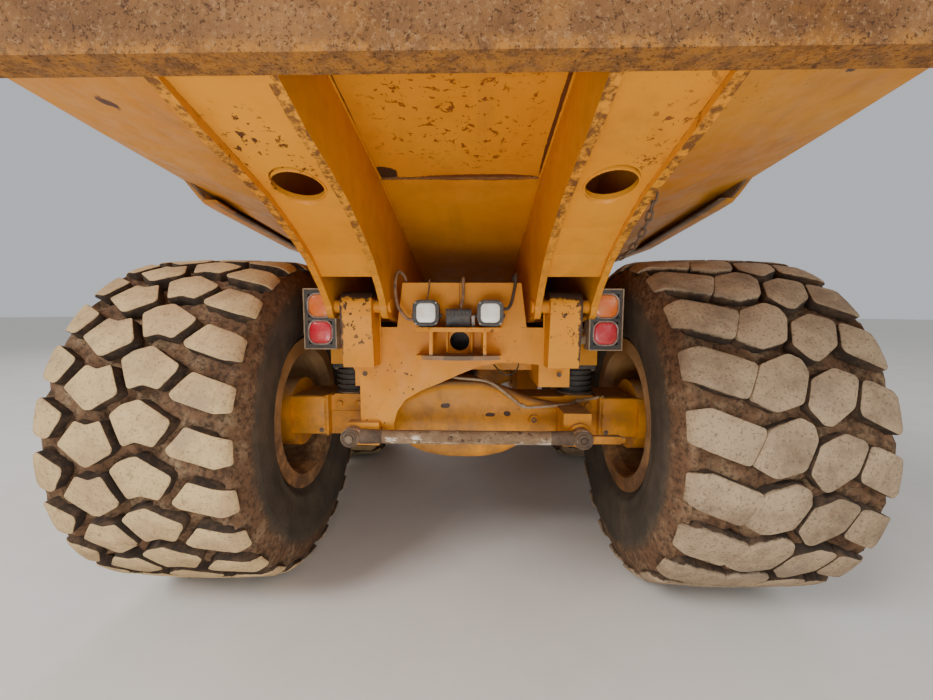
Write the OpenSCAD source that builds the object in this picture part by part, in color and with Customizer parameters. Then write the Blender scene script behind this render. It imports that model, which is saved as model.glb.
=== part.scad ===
// Articulated dump truck with three driven axles, a centre pivot and a tipping body.
// The front faces -Y, the driver's left is +X and the ground is at Z = 0.

/* [Layout] */
// Front face of the bumper to the front axle
front_overhang = 3100; // [3000:10:3250]
// Front axle to the first rear axle
wheelbase = 4520; // [4400:10:4700]
// Gap between the tyres of the two rear axles
tyre_gap = 120; // [80:5:180]
// Second rear axle to the tail of the body
rear_overhang = 1650; // [1560:10:1760]
// Front axle to the steering pivot
pivot_behind_axle = 1280; // [1240:10:1340]
// Distance between the tyre centres of one axle
track = 2670; // [2620:10:2760]

/* [Tyres and rims] */
// Outer diameter over the lugs
tyre_d = 1820; // [1780:5:1860]
// Section width of a tyre
tyre_w = 875; // [840:5:900]
// Width over the tread
tread_w = 820; // [780:5:840]
// Outer radius of the rim flanges
flange_r = 456; // [440:1:470]
// Radius of the bead seat
bead_r = 368; // [355:1:375]
// Width between the outer faces of the rim flanges
rim_w = 766; // [740:2:790]
// Radius of the planetary hub
hub_r = 210; // [190:1:230]

/* [Rear frame] */
// Inner face of a rail from the middle
rail_in = 400; // [380:1:410]
// Width of a rail
rail_w = 160; // [150:1:165]
// Underside of the rails
rail_z = 1130; // [1120:1:1150]
// Top of the rails
rail_top = 1430; // [1420:1:1440]
// Thickness of the rear plate
rear_plate_t = 30; // [20:1:36]
// Axis height of the body hinge
hinge_z = 1545; // [1540:1:1550]
// Rear axle to the body hinge
hinge_behind_axle = 470; // [460:1:480]
// Radius of a body hinge pin
hinge_pin_r = 32; // [28:1:36]

/* [Tipping body] */
// Width over the side plates
body_w = 3200; // [3100:10:3260]
// Height of the side plates at the top rail
body_top = 3100; // [3050:10:3200]
// Thickness of floor and side plates
body_t = 25; // [16:1:30]
// Half width of the flat floor
floor_half = 650; // [645:1:665]
// Inner web of a floor beam from the middle
web_in = 350; // [345:1:355]
// Thickness of a web
web_t = 30; // [24:1:34]
// Outer face of the outer web from the middle
web_out = 640; // [636:1:644]

/* [Cylinders] */
// Radius of a hoist barrel
hoist_r = 75; // [65:1:78]
// Radius of a hoist rod
hoist_rod_r = 50; // [40:1:55]
// Hoist cylinders from the middle
hoist_x = 725; // [722:1:730]
// Radius of a steering barrel
steer_r = 55; // [45:1:57]
// Radius of a steering rod
steer_rod_r = 30; // [25:1:35]

/* [Cab and hood] */
// Half width of the cab
cab_half = 850; // [830:1:855]
// Underside of the cab
cab_z = 1900; // [1880:5:1920]
// Top of the cab roof
cab_top = 3720; // [3650:5:3760]
// Thickness of the cab walls and the door
cab_t = 60; // [45:1:70]
// Half width of the hood
hood_half = 780; // [740:5:800]

/* [Hidden] */
$fn = 48;
yellow = "#e0951c";
dark = "#2c2b2a";
steel = "#8d8d8b";
rubber = "#4a4038";

// Stations along the truck
bogie_pitch = tyre_d + tyre_gap;
overall = front_overhang + wheelbase + bogie_pitch + rear_overhang;
front_y = -overall / 2;
axle1_y = front_y + front_overhang;
axle2_y = axle1_y + wheelbase;
axle3_y = axle2_y + bogie_pitch;
tail_y = axle3_y + rear_overhang;
pivot_y = axle1_y + pivot_behind_axle;
bogie_y = (axle2_y + axle3_y) / 2;
hinge_y = axle3_y + hinge_behind_axle;
tyre_r = tyre_d / 2;
// Height of the axles in every drawing below; larger or smaller tyres lift or lower the truck as a whole
axle_z = 910;
module on_tyres() { translate([0, 0, tyre_r - axle_z]) children(); }
wheel_x = track / 2;
rail_out = rail_in + rail_w;

// Clearances: a pin in its bore, and a moving piece beside its neighbour
pin_gap = 0.1;
seat_gap = 0.3;
side_gap = 5;

// Both sides of the truck
module both() {
    children();
    mirror([1, 0, 0]) children();
}

// A block between pairs of coordinates
module block(x, y, z) {
    translate([x[0], y[0], z[0]]) cube([x[1] - x[0], y[1] - y[0], z[1] - z[0]]);
}

// An outline in Y and Z, made into a plate from x0 to x1
module along_x(x0, x1) {
    translate([x0, 0, 0]) rotate([90, 0, 90]) linear_extrude(x1 - x0) children();
}

// An outline in X and Z, made into a plate from y0 to y1
module along_y(y0, y1) {
    translate([0, y1, 0]) rotate([90, 0, 0]) linear_extrude(y1 - y0) children();
}

// Round bars along each axis: ends, then the two other coordinates, then the radius
module bar_x(x0, x1, y, z, r) {
    translate([x0, y, z]) rotate([0, 90, 0]) cylinder(h = x1 - x0, r = r);
}
module bar_y(y0, y1, x, z, r) {
    translate([x, y0, z]) rotate([-90, 0, 0]) cylinder(h = y1 - y0, r = r);
}
module bar_z(z0, z1, x, y, r) {
    translate([x, y, z0]) cylinder(h = z1 - z0, r = r);
}

// A round bar from point a to point b
module rod(a, b, r) {
    d = b - a;
    translate(a) rotate([0, acos(d[2] / norm(d)), atan2(d[1], d[0])]) cylinder(h = norm(d), r = r);
}

// Tyres and rims. Local Z is the wheel's axis, outwards; local X points at a lug of the first pitch.
wheel_half = tyre_w / 2;
rim_half = rim_w / 2;
tread_half = tread_w / 2;
side_mid_r = tyre_r - 270;
crown_drop = 42;
casing_t = 45;
lug_h = 46;

// Outlines of the tyre's section are [distance from its middle, radius], from the rim to the middle of the tread
function sidewall() = [
    [rim_half - 14.3, bead_r], [rim_half - 14.3, flange_r + 4], [rim_half + 12, flange_r + 24],
    [wheel_half - 14, side_mid_r - 100], [wheel_half, side_mid_r], [wheel_half - 6, side_mid_r + 90],
    [tread_half + 8, tyre_r - crown_drop - 60], [tread_half - 10, tyre_r - crown_drop - 32]];
function crown(depth) = [[tread_half - 60, tyre_r - 14 - depth], [tread_half / 3, tyre_r - depth]];
function cavity() = [
    [tread_half / 3, tyre_r - 120], [tread_half - casing_t, tyre_r - 150], [wheel_half - casing_t, side_mid_r],
    [rim_half - 14 - casing_t, flange_r + 10], [rim_half - 100, bead_r]];
function lug_ring() = concat([[tread_half - 5, tyre_r - 110], [tread_half + 7, tyre_r - crown_drop - 44],
    [tread_half, tyre_r - crown_drop]], crown(0));
function mirrored(p) = [for (i = [len(p) - 1:-1:0]) [-p[i][0], p[i][1]]];

module wheel_at(side, y) {
    translate([side * wheel_x, y, axle_z]) mirror([side < 0 ? 1 : 0, 0, 0]) rotate([0, 90, 0]) children();
}

// Tread blocks of one pitch. Corners are [distance outwards, degrees around the wheel].
left_lugs = [
    [[62, 12.4], [-54, 16.4], [-190, 10], [-124, 4.2], [2, 4.3]],
    [[277, 4.7], [205, 10.9], [97, 10.9], [43, 3.2], [158, -1.1]],
    [[435, 7.5], [435, 16], [262, 12.8], [315, 6.2]],
    [[-168, 2.6], [-248, 9.5], [-435, 5.6], [-435, -1.6]]];
right_lugs = [
    [[-180, 0.8], [-128, 10.2], [-8, 13.2], [53, 9.4], [0, -0.8]],
    [[36, -1.5], [60, 6.5], [158, 9.5], [246, 6.4], [205, -1.6], [95, -5.4]],
    [[222, -2], [256, 6.1], [435, 1.9], [435, -6.6]],
    [[-435, 6], [-435, 15], [-140, 10.2], [-205, 1.2]]];
left_pitches = 25;
right_pitches = 22;
lug_root = 100;
lug_prism = 120;

module lugs(table, pitches) {
    for (k = [0:pitches - 1]) rotate([0, 0, 90 + 360 * k / pitches]) translate([tyre_r - lug_root, 0, 0])
        rotate([0, 90, 0]) for (outline = table) linear_extrude(lug_prism)
            polygon([for (p = outline) [-p[0], p[1] * PI / 180 * tyre_r]]);
}

module tyre(side, y) {
    outer = concat(sidewall(), crown(lug_h));
    casing = concat(outer, mirrored(outer), mirrored(cavity()), cavity());
    color(rubber) wheel_at(side, y) {
        rotate_extrude($fn = 96) polygon([for (p = casing) [p[1], p[0]]]);
        intersection() {
            rotate_extrude($fn = 96) polygon([for (p = concat(lug_ring(), mirrored(lug_ring()))) [p[1], p[0]]]);
            union() {
                if (side > 0) lugs(left_lugs, left_pitches);
                if (side < 0) lugs(right_lugs, right_pitches);
            }
        }
    }
}

// Rim barrel with flanges, wheel disc and planetary hub, as one revolve
disc_x = 90;
disc_t = 30;
barrel_t = 22;
hub_in = 60;
hub_out = 290;
spindle_r = 90;
spindle_end = 50;

module rim(side, y) {
    color(yellow) wheel_at(side, y) difference() {
        union() {
            rotate_extrude($fn = 96) polygon([
                [flange_r - 14, rim_half - 14], [flange_r, rim_half - 8], [flange_r, rim_half],
                [bead_r, rim_half], [bead_r - barrel_t - 8, rim_half - 40],
                [bead_r - barrel_t - 8, disc_x + disc_t], [hub_r - 5, disc_x + disc_t],
                [hub_r - 5, disc_x], [bead_r - barrel_t - 8, disc_x],
                [bead_r - barrel_t, -rim_half + 60], [bead_r + 8, -rim_half],
                [flange_r, -rim_half], [flange_r, -rim_half + 8], [flange_r - 14, -rim_half + 14],
                [bead_r - 0.3, -rim_half + 14], [bead_r - 0.3, rim_half - 14]]);
            rotate_extrude($fn = 72) polygon([
                [0, -hub_in], [hub_r - 30, -hub_in], [hub_r, -hub_in + 30], [hub_r, disc_x + disc_t + 40],
                [hub_r - 25, disc_x + disc_t + 70], [hub_r - 40, hub_out - 20],
                [hub_r - 60, hub_out], [0, hub_out]]);
        }
        translate([0, 0, -hub_in - 1]) cylinder(h = hub_in + spindle_end + 6, r = spindle_r + pin_gap);
    }
}

// One driven axle: bowl, arms, brake ends and spindles
bowl_r = 225;
arm_end = 776;
brake_r = 205;
brake_in = 985;
brake_out = wheel_x - hub_in - side_gap;
arm_z = [-108, 122];
arm_y = 115;
spring_x = 670;
spring_seat_z = axle_z + 130;

module axle(y, nose) {
    translate([0, y, axle_z]) {
        rotate([90, 0, 0]) rotate_extrude($fn = 64) polygon([
            [0, -190], [90, -190], [170, -165], [205, -120], [bowl_r, -80], [bowl_r, 60],
            [bowl_r - 30, 110], [bowl_r - 70, 160], [110, 190], [0, 190]]);
        both() {
            along_y(-arm_y, arm_y) polygon([[150, -150], [330, arm_z[0]], [arm_end, arm_z[0]],
                [arm_end, arm_z[1]], [330, arm_z[1]], [150, 165]]);
            block([arm_end, brake_in], [-165, 165], [-92, 127]);
            bar_x(brake_in, brake_out, 0, 0, brake_r);
            bar_x(brake_out, wheel_x + spindle_end, 0, 0, spindle_r);
        }
        bar_y(nose[0], nose[1], 0, 0, 85);
        bar_z(-bowl_r - 22, -bowl_r + 20, 0, 20, 30);
    }
}

pinion_reach = 430;
output_reach = 320;
rod_y = hinge_y - 20;
rod_z = axle_z - 20;
mid_rod_z = axle_z + 140;
function rod_height(y) = y == axle2_y ? mid_rod_z : rod_z;
// Axle end and frame end of a lateral rod
function rod_ends(y) = y == axle2_y ? [-505, 500] : [-rod_axle_x, rod_frame_x];
rod_frame_x = 553;
rod_axle_x = 606;

module drive_axles() {
    color(yellow) for (y = [axle2_y, axle3_y]) {
        axle(y, [-pinion_reach, y == axle2_y ? output_reach : 0]);
        both() block([spring_x - 85, spring_x + 85], [y - arm_y, y + arm_y],
            [axle_z + arm_z[1], spring_seat_z]);
        lateral_bracket(y);
        both() thrust_bracket(y);
    }
}

// The ear that carries the axle end of a lateral rod
module lateral_bracket(y) {
    face = y + rod_y - axle3_y - 36;
    z = rod_height(y);
    x = rod_ends(y)[0];
    block([x - 62, x + 80], [y + arm_y - 1, face - 24],
        [min(axle_z - 60, z - 62), max(axle_z + 90, z + 50)]);
    bar_y(face - 25, face, x, z, 62);
}

mid_rod_y = axle2_y + rod_y - axle3_y;
thrust_x = 470;
thrust_z = axle_z - 110;
thrust_frame = 240;
function toward_bogie(y) = y < bogie_y ? 1 : -1;

module thrust_bracket(y) {
    s = toward_bogie(y);
    block([thrust_x - 45, thrust_x + 45], [y - 60, y + 60], [thrust_z - 60, axle_z + arm_z[0]]);
    if (s > 0) block([thrust_x - 45, thrust_x + 45], [y + 60, y + 150], [thrust_z - 60, thrust_z + 60]);
    if (s < 0) block([thrust_x - 45, thrust_x + 45], [y - 150, y - 60], [thrust_z - 60, thrust_z + 60]);
}

// Lateral rods and lower thrust rods
module axle_rods() {
    color(yellow) for (y = [axle2_y, axle3_y]) {
        rod_here = y + rod_y - axle3_y;
        z = rod_height(y);
        s = toward_bogie(y);
        ends = [y + s * 150, bogie_y - s * thrust_frame];
        bar_x(rod_ends(y)[0], rod_ends(y)[1], rod_here, z, 34);
        for (x = rod_ends(y)) bar_y(rod_here - 36, rod_here + 36, x, z, 48);
        both() bar_y(min(ends), max(ends), thrust_x, thrust_z, 38);
    }
}

// Walking beams with their trunnion bores
beam_in = 590;
beam_out = 760;
beam_pivot_z = axle_z + 240;
beam_top = axle_z + 420;
beam_foot = axle_z + 310;
trunnion_r = 60;
half_pitch = bogie_pitch / 2;

module bogie_beams() {
    color(yellow) both() difference() {
        translate([0, bogie_y, 0]) union() {
            along_x(beam_in, beam_out) polygon([
                [-half_pitch - 140, beam_top], [half_pitch + 140, beam_top],
                [half_pitch + 140, beam_foot], [half_pitch - 150, beam_foot],
                [half_pitch - 520, axle_z + 120], [-half_pitch + 520, axle_z + 120],
                [-half_pitch + 150, beam_foot], [-half_pitch - 140, beam_foot]]);
            bar_x(beam_in - 20, beam_out + 10, 0, beam_pivot_z, 150);
        }
        bar_x(beam_in - 30, beam_out - 20, bogie_y, beam_pivot_z, trunnion_r + pin_gap);
    }
}

// Ribbed rubber springs between the axles and the walking beams
spring_r = 100;
spring_ribs = 5;

module bogie_springs() {
    z0 = spring_seat_z;
    z1 = beam_foot - 26;
    pitch = (z1 - z0) / spring_ribs;
    color(dark) both() for (y = [axle2_y, axle3_y]) translate([spring_x, y, 0]) {
        for (i = [0:spring_ribs - 1]) {
            bar_z(z0 + i * pitch, z0 + (i + 0.6) * pitch, 0, 0, spring_r);
            bar_z(z0 + (i + 0.6) * pitch, z0 + (i + 1) * pitch, 0, 0, spring_r - 12);
        }
        block([-95, 90], [-115, 115], [z1, beam_foot]);
    }
}

// Rear frame: rails, cross members, oscillation housing, rear plate and brackets
osc_z = 1070;
osc_r = 180;
osc_wall = 70;
osc_front = pivot_y + 465;
osc_rear = osc_front + 480;
rail_front = osc_rear - 50;
plate_y = hinge_y - 95;
column_in = 420;
column_out = 570;
hoist_base = [axle2_y - 1065, axle_z + 390];
hoist_eye = [hinge_y - 1325, axle_z + 690];
hoist_pin_r = 35;
hoist_eye_half = 45;
hoist_lug_r = 70;

module rear_plate() {
    side = column_out - 3;
    step = rail_top + 10;
    along_y(plate_y - rear_plate_t, plate_y) difference() {
        polygon([[-300, 1665], [300, 1665], [330, step], [side, step], [side, 1244], [527, 1166],
            [526, 830], [329, 830], [344, 880], [353, 935], [337, 998], [294, 1062], [215, 1110],
            [111, 1153], [8, 1200], [-95, 1242], [-197, 1259], [-299, 1259], [-401, 1249],
            [-side, 1244], [-side, step], [-330, step]]);
        translate([10, 1370]) circle(r = 50);
    }
}

// Column behind the rear plate that holds a body hinge pin
module hinge_column() {
    difference() {
        along_x(column_in, column_out) union() {
            translate([hinge_y, hinge_z]) circle(r = 70);
            polygon([[plate_y - 1, 1250], [hinge_y + 30, 1250], [hinge_y + 70, 1500], [hinge_y + 70, hinge_z],
                [hinge_y, hinge_z + 70], [plate_y - 1, hinge_z + 70]]);
        }
        bar_x(column_in - 1, column_out + 1, hinge_y, hinge_z, hinge_pin_r + pin_gap);
    }
}

module tow_shelf(z) {
    translate([0, 0, z]) linear_extrude(20) polygon([[-197, plate_y - 1], [217, plate_y - 1], [217, plate_y + 130],
        [130, plate_y + 165], [10, plate_y + 175], [-110, plate_y + 165], [-197, plate_y + 130]]);
}

// Lug that holds a hoist barrel's eye between two ears
module hoist_bracket() {
    y = hoist_base[0];
    z = hoist_base[1];
    ear_in = hoist_x - hoist_eye_half - side_gap;
    ear_out = hoist_x + hoist_eye_half + side_gap;
    for (x = [[rail_out, ear_in], [ear_out, ear_out + 32]]) along_x(x[0], x[1]) union() {
        translate([y, z]) circle(r = hoist_lug_r);
        polygon([[y - hoist_lug_r, z], [y + hoist_lug_r, z], [y + hoist_lug_r, rail_z + 10],
            [y - hoist_lug_r, rail_z + 10]]);
    }
    block([rail_out - 1, ear_out + 31], [y - hoist_lug_r + 1, y + hoist_lug_r - 1], [rail_z + 12, z - hoist_lug_r - 12]);
    bar_x(rail_out - 1, ear_out + 44, y, z, hoist_pin_r);
}

module rear_frame() {
    color(yellow) {
        both() {
            along_x(rail_in, rail_out) polygon([[rail_front, 880], [rail_front, rail_top],
                [plate_y - rear_plate_t, rail_top], [plate_y - rear_plate_t, rail_z],
                [rail_front + 1250, rail_z], [rail_front + 650, 960]]);
            hinge_column();
            hoist_bracket();
            bar_x(rail_in, beam_out - 20, bogie_y, beam_pivot_z, trunnion_r);
            // Saddle under the rail for the trunnion and the thrust rods
            along_x(rail_in, rail_out) polygon([[bogie_y - thrust_frame, rail_z + 1], [bogie_y + thrust_frame, rail_z + 1],
                [bogie_y + thrust_frame, 760], [bogie_y - thrust_frame, 760]]);
            // Arm that carries the tail lamps
            block([rail_out, tail_lamp_in + 60], [tail_lamp_y - 120, tail_lamp_y - 60], [1340, 1400]);
        }
        difference() {
            union() {
                block([-rail_out, rail_out], [rail_front, osc_rear], [osc_z - 250, rail_top]);
                bar_y(osc_front, osc_rear, 0, osc_z, osc_r + osc_wall);
            }
            bar_y(osc_front - 1, osc_rear - 20, 0, osc_z, osc_r + pin_gap);
        }
        bar_x(-rail_in, rail_in, bogie_y, beam_pivot_z, 80);
        block([-rail_in, rail_in], [hoist_base[0] - 70, hoist_base[0] + 70], [rail_z + 50, rail_top - 40]);
        block([-rail_in, rail_in], [axle3_y - 60, axle3_y + 60], [rail_z + 50, rail_top - 20]);
        rear_plate();
        // Frame end of each lateral rod
        block([rod_frame_x - 130, rod_frame_x + 34], [plate_y - rear_plate_t, rod_y - 36],
            [rod_z - 58, rod_z + 60]);
        block([rail_in, rail_out], [mid_rod_y - 110, mid_rod_y - 36], [mid_rod_z - 58, rail_z + 1]);
        tow_shelf(shelf_top - 20);
        tow_shelf(low_shelf_z);
        for (x = [-115, 141]) block([x - 8, x + 8], [plate_y - 1, plate_y + 150], [low_shelf_z + 19, shelf_top - 19]);
    }
}

tail_lamp_in = 660;
tail_lamp_out = 825;
tail_lamp_z = [1325, 1635];
tail_lamp_y = plate_y - 60;

module tail_lamps() {
    color(dark) both() difference() {
        block([tail_lamp_in, tail_lamp_out], [tail_lamp_y - 60, tail_lamp_y + 20], tail_lamp_z);
        for (z = [1350, 1490]) block([tail_lamp_in + 20, tail_lamp_out - 20],
            [tail_lamp_y, tail_lamp_y + 30], [z, z + 120]);
    }
}

module tail_lenses() {
    color("#d0402c") both() for (z = [1350, 1490])
        block([tail_lamp_in + 22, tail_lamp_out - 22], [tail_lamp_y, tail_lamp_y + 28], [z + 2, z + 118]);
}

// Reversing lamps and the alarm between them, on the upper shelf
lamp_s = 120;
shelf_top = 1445;
low_shelf_z = 1290;

module work_lamps() {
    color(dark) for (x = [-141, 167]) translate([x, plate_y + 95, 0]) {
        block([-lamp_s / 2, lamp_s / 2], [-45, 35], [1453, 1453 + lamp_s]);
        block([-20, 20], [-20, 20], [shelf_top, 1453]);
        block([-lamp_s / 2 + 12, lamp_s / 2 - 12], [35, 41], [1465, 1441 + lamp_s]);
    }
    color(dark) translate([13, plate_y + 80, 0]) {
        block([-62, 62], [-40, 30], [shelf_top, 1530]);
        for (i = [0:4]) block([-56 + 24 * i, -44 + 24 * i], [30, 38], [1445, 1522]);
    }
}

// Triangles of the skin between rings of n points, row after row
function side_faces(rows, n) = concat(
    [for (k = [0:rows - 2]) for (i = [0:n - 1]) [k * n + i, k * n + (i + 1) % n, (k + 1) * n + (i + 1) % n]],
    [for (k = [0:rows - 2]) for (i = [0:n - 1]) [k * n + i, (k + 1) * n + (i + 1) % n, (k + 1) * n + i]]);
// End caps of such a skin: point i of a ring lies across from point n - 1 - i
function cap(n, at) = concat([for (i = [0:n / 2 - 2]) [at + i, at + i + 1, at + n - 2 - i]],
    [for (i = [0:n / 2 - 2]) [at + i, at + n - 2 - i, at + n - 1 - i]]);
function reversed(faces) = [for (f = faces) [f[2], f[1], f[0]]];
function skin(rows, n) = concat(side_faces(rows, n), reversed(cap(n, 0)), cap(n, (rows - 1) * n));

// Tubes swept along a route of points, with rings of tube_sides points
tube_sides = 8;
function unit(v) = v / norm(v);
function tangent(p, i) = unit(p[min(i + 1, len(p) - 1)] - p[max(i - 1, 0)]);
function tube_ring(p, i, r) = let (t = tangent(p, i), u = unit(cross(t, [1, 0.1, 0])), v = cross(t, u))
    [for (k = [0:tube_sides - 1]) p[i] + r * (cos(360 * k / tube_sides) * u + sin(360 * k / tube_sides) * v)];
module tube(p, r) {
    polyhedron([for (i = [0:len(p) - 1]) each tube_ring(p, i, r)], skin(len(p), tube_sides));
}

// Lamp and alarm cables, held at both ends, from the plate's front face over its top edge
alarm_cable = [[-8, -39, 1610], [-8, -40, 1650], [-8, -38, 1676], [-8, -24, 1688], [-8, -4, 1687],
    [-8, 11, 1674], [-8, 22, 1640], [-8, 36, 1600], [-4, 50, 1565], [2, 58, 1546], [2, 58, 1530 + seat_gap]];
lamp_wire = [[163, -35, 1610], [163, -36, 1655], [163, -32, 1674], [163, -20, 1680], [163, -4, 1680],
    [163, 10, 1670], [163, 22, 1640], [164, 46, 1612], [165, 68, 1592], [165, 70, 1573 + seat_gap]];
left_cable = [[280, -39, 1600], [284, -40, 1655], [292, -38, 1690], [305, -14, 1716], [318, 16, 1718], [326, 40, 1680],
    [326, 58, 1620], [312, 72, 1550], [278, 84, 1498], [252, 90, 1482], [227 + seat_gap, 90, 1482]];
right_cable = [[-255, -39, 1600], [-257, -40, 1652], [-262, -38, 1684], [-270, -12, 1706], [-272, 16, 1704], [-268, 38, 1668],
    [-258, 58, 1620], [-244, 80, 1562], [-226, 90, 1535], [-201 - seat_gap, 90, 1535]];
function on_plate(route) = [for (p = route) [p[0], plate_y + p[1], p[2]]];

module rear_cables() {
    color(dark) {
        for (route = [alarm_cable, left_cable, right_cable]) tube(on_plate(route), 8);
        tube(on_plate(lamp_wire), 4);
    }
}

module prop_shafts() {
    color(steel) {
        rod([0, osc_rear + 20, osc_z], [0, axle2_y - pinion_reach - 30, axle_z], 55);
        bar_y(osc_rear, osc_rear + 60, 0, osc_z, 90);
        bar_y(axle2_y - pinion_reach - 60, axle2_y - pinion_reach, 0, axle_z, 85);
        bar_y(axle2_y + output_reach, axle3_y - pinion_reach, 0, axle_z, 55);
        bar_y(axle2_y + output_reach, axle2_y + output_reach + 60, 0, axle_z, 85);
        bar_y(axle3_y - pinion_reach - 60, axle3_y - pinion_reach, 0, axle_z, 85);
    }
}

// Tipping body. Stations: [y, underside of the floor, underside of the outer edge, top]
tub_end = tail_y - 75;
tub_front = pivot_y + 375;
kick_y = axle3_y - 1200;
weld_y = axle3_y + 620;
floor_z = 1724;
knee_z = 2150;
weld_z = 2100;
tub_end_z = 2234;
function tub_rows() = [
    [tub_front, floor_z, knee_z, body_top], [kick_y, floor_z, knee_z, body_top],
    [axle3_y - 200, 1931, 2240, body_top], [weld_y, weld_z, 2310, 2900], [tub_end, tub_end_z, 2400, 2720]];
function floor_at(y) = y <= kick_y ? floor_z
    : y <= weld_y ? floor_z + (y - kick_y) / (weld_y - kick_y) * (weld_z - floor_z)
    : weld_z + (y - weld_y) / (tub_end - weld_y) * (tub_end_z - weld_z);
half_w = body_w / 2;

function tub_ring(row) = let (y = row[0], f = row[1], e = row[2], t = row[3], i = half_w - body_t, lift = body_t * 1.05)
    [[-half_w, y, t], [-half_w, y, e], [-floor_half, y, f], [floor_half, y, f], [half_w, y, e], [half_w, y, t],
     [i, y, t], [i, y, e + lift], [floor_half, y, f + body_t], [-floor_half, y, f + body_t], [-i, y, e + lift], [-i, y, t]];

module tub_shell() {
    polyhedron([for (r = tub_rows()) each tub_ring(r)], skin(len(tub_rows()), 12), convexity = 6);
}

// Front wall: leans forward from the floor to the top rail
wall_foot = pivot_y + 1105;
wall_head = pivot_y + 455;
guard_y = pivot_y + 295;
guard_z = 3400;

module body_tub() {
    color(yellow) {
        difference() {
            tub_shell();
            along_x(-half_w - 1, half_w + 1) polygon([[wall_foot, floor_z - 5], [wall_head, body_top + 5],
                [tub_front - 10, body_top + 5], [tub_front - 10, floor_z - 5]]);
        }
        intersection() {
            along_x(-half_w, half_w) polygon([[wall_foot, floor_z], [wall_foot + 30, floor_z],
                [wall_head + 30, body_top], [wall_head, body_top]]);
            along_y(tub_front, wall_foot + 60) polygon([[-half_w, body_top], [-half_w, knee_z],
                [-floor_half, floor_z], [floor_half, floor_z], [half_w, knee_z], [half_w, body_top]]);
        }
        along_x(-half_w + 150, half_w - 150) polygon([[wall_head, body_top], [wall_head + 30, body_top],
            [guard_y + 30, guard_z], [guard_y, guard_z]]);
        both() along_x(half_w, half_w + 50) polygon([[wall_head + 20, body_top], [axle3_y - 200, body_top],
            [axle3_y - 200, body_top - 110], [wall_head + 70, body_top - 110]]);
    }
}

// Floor beams: two webs each side, the plates between them and the hinge pins
beam_bottom = 1462;
hinge_eye_r = 60;
beam_front = wall_foot + 60;

function web_top() = [for (y = [tub_end, weld_y, kick_y, beam_front]) [y, floor_at(y)]];
// Lower edge from the tail to the hinge: behind the hinge, above the hinge
web_edge = [[930, 420], [780, 384], [610, 338], [430, 262], [280, 185], [150, 85], [62, 0]];
web_low = 480;

module web() {
    polygon(concat(web_top(), [[beam_front, beam_bottom], [hinge_y - 230, beam_bottom],
        [hinge_y - 60, hinge_z - 50], [hinge_y, hinge_z - 40]],
        [for (i = [len(web_edge) - 1:-1:0]) [hinge_y + web_edge[i][0], hinge_z + web_edge[i][1]]],
        [[tub_end, hinge_z + web_low]]));
    translate([hinge_y, hinge_z]) circle(r = hinge_eye_r);
}

// Plate between the webs, a little inside their lower edge
module web_cover() {
    t = 14;
    inset = 22;
    pts = [for (p = [[1080, web_low - 15], [780, 384], [610, 338], [430, 262], [280, 185], [175, 105]])
        [hinge_y + p[0], hinge_z + p[1] + inset]];
    polygon(concat(pts, [for (i = [len(pts) - 1:-1:0]) pts[i] + [-6, t]]));
}

module body_beams() {
    color(yellow) both() {
        for (x = [web_in, web_out - web_t]) along_x(x, x + web_t) web();
        difference() {
            along_x(web_in + web_t, web_out - web_t) web_cover();
            translate([(web_in + web_out) / 2, hinge_y + 630, hinge_z + 300]) rotate([-18, 0, 0]) cylinder(h = 200, r = 83);
        }
        block([web_in + web_t, web_out - web_t], [beam_front, hinge_y - 300], [beam_bottom, beam_bottom + 20]);
        bar_x(web_in - 12, web_out + 12, hinge_y, hinge_z, hinge_pin_r);
        bar_x(web_out, hoist_x - hoist_eye_half - side_gap, hoist_eye[0], hoist_eye[1], 62);
    }
}

lip_z = [2000, 2275];

module tail_lip() {
    color(yellow) block([-half_w, half_w], [tub_end, tail_y], lip_z);
}

// Chain that hangs beside the right outer web, from the edge plate to the web: links on a route, each
// bearing on the next
chain_route = [[-850, 150, 2118], [-846, 132, 2010], [-836, 96, 1920], [-818, 44, 1848], [-792, -20, 1800],
    [-760, -86, 1776], [-726, -140, 1776], [-692, -182, 1794], [-web_out - 20, -212.5, 1826]];
link_l = 84;
link_w = 50;
link_t = 10;
link_bite = 1;

function along(p, i, d) = let (step = norm(p[i + 1] - p[i]))
    i >= len(p) - 2 || d <= step ? p[i] + (p[i + 1] - p[i]) * min(1, d / step) : along(p, i + 1, d - step);
function route_length(p, i) = i >= len(p) - 1 ? 0 : norm(p[i + 1] - p[i]) + route_length(p, i + 1);

module stadium(l, w) {
    for (s = [-1, 1]) translate([s * (l - w) / 2, 0]) circle(d = w);
    square([l - w, w], center = true);
}

module body_chain() {
    hang = route_length(chain_route, 0) - link_l;
    count = floor(hang / (link_l - 2 * link_t + link_bite));
    pitch = hang / count;
    color(steel) translate([0, hinge_y, 0]) for (i = [0:count]) {
        a = along(chain_route, 0, i * pitch);
        d = along(chain_route, 0, i * pitch + link_l) - a;
        translate(a + d / 2) rotate([0, acos(d[2] / norm(d)) - 90, atan2(d[1], d[0])])
            rotate([i % 2 == 0 ? 45 : -45, 0, 0]) translate([0, 0, -link_t / 2]) linear_extrude(link_t)
                difference() { stadium(link_l, link_w); stadium(link_l - 2 * link_t, link_w - 2 * link_t); }
    }
}

// Hoist cylinders, drawn along local +Y from the barrel pin
hoist_d = hoist_eye - hoist_base;
hoist_len = norm(hoist_d);
hoist_angle = atan2(hoist_d[1], hoist_d[0]);
hoist_barrel_end = hoist_len - 240;

module at_hoist(side) {
    translate([side * hoist_x, hoist_base[0], hoist_base[1]]) rotate([hoist_angle, 0, 0]) children();
}

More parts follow.
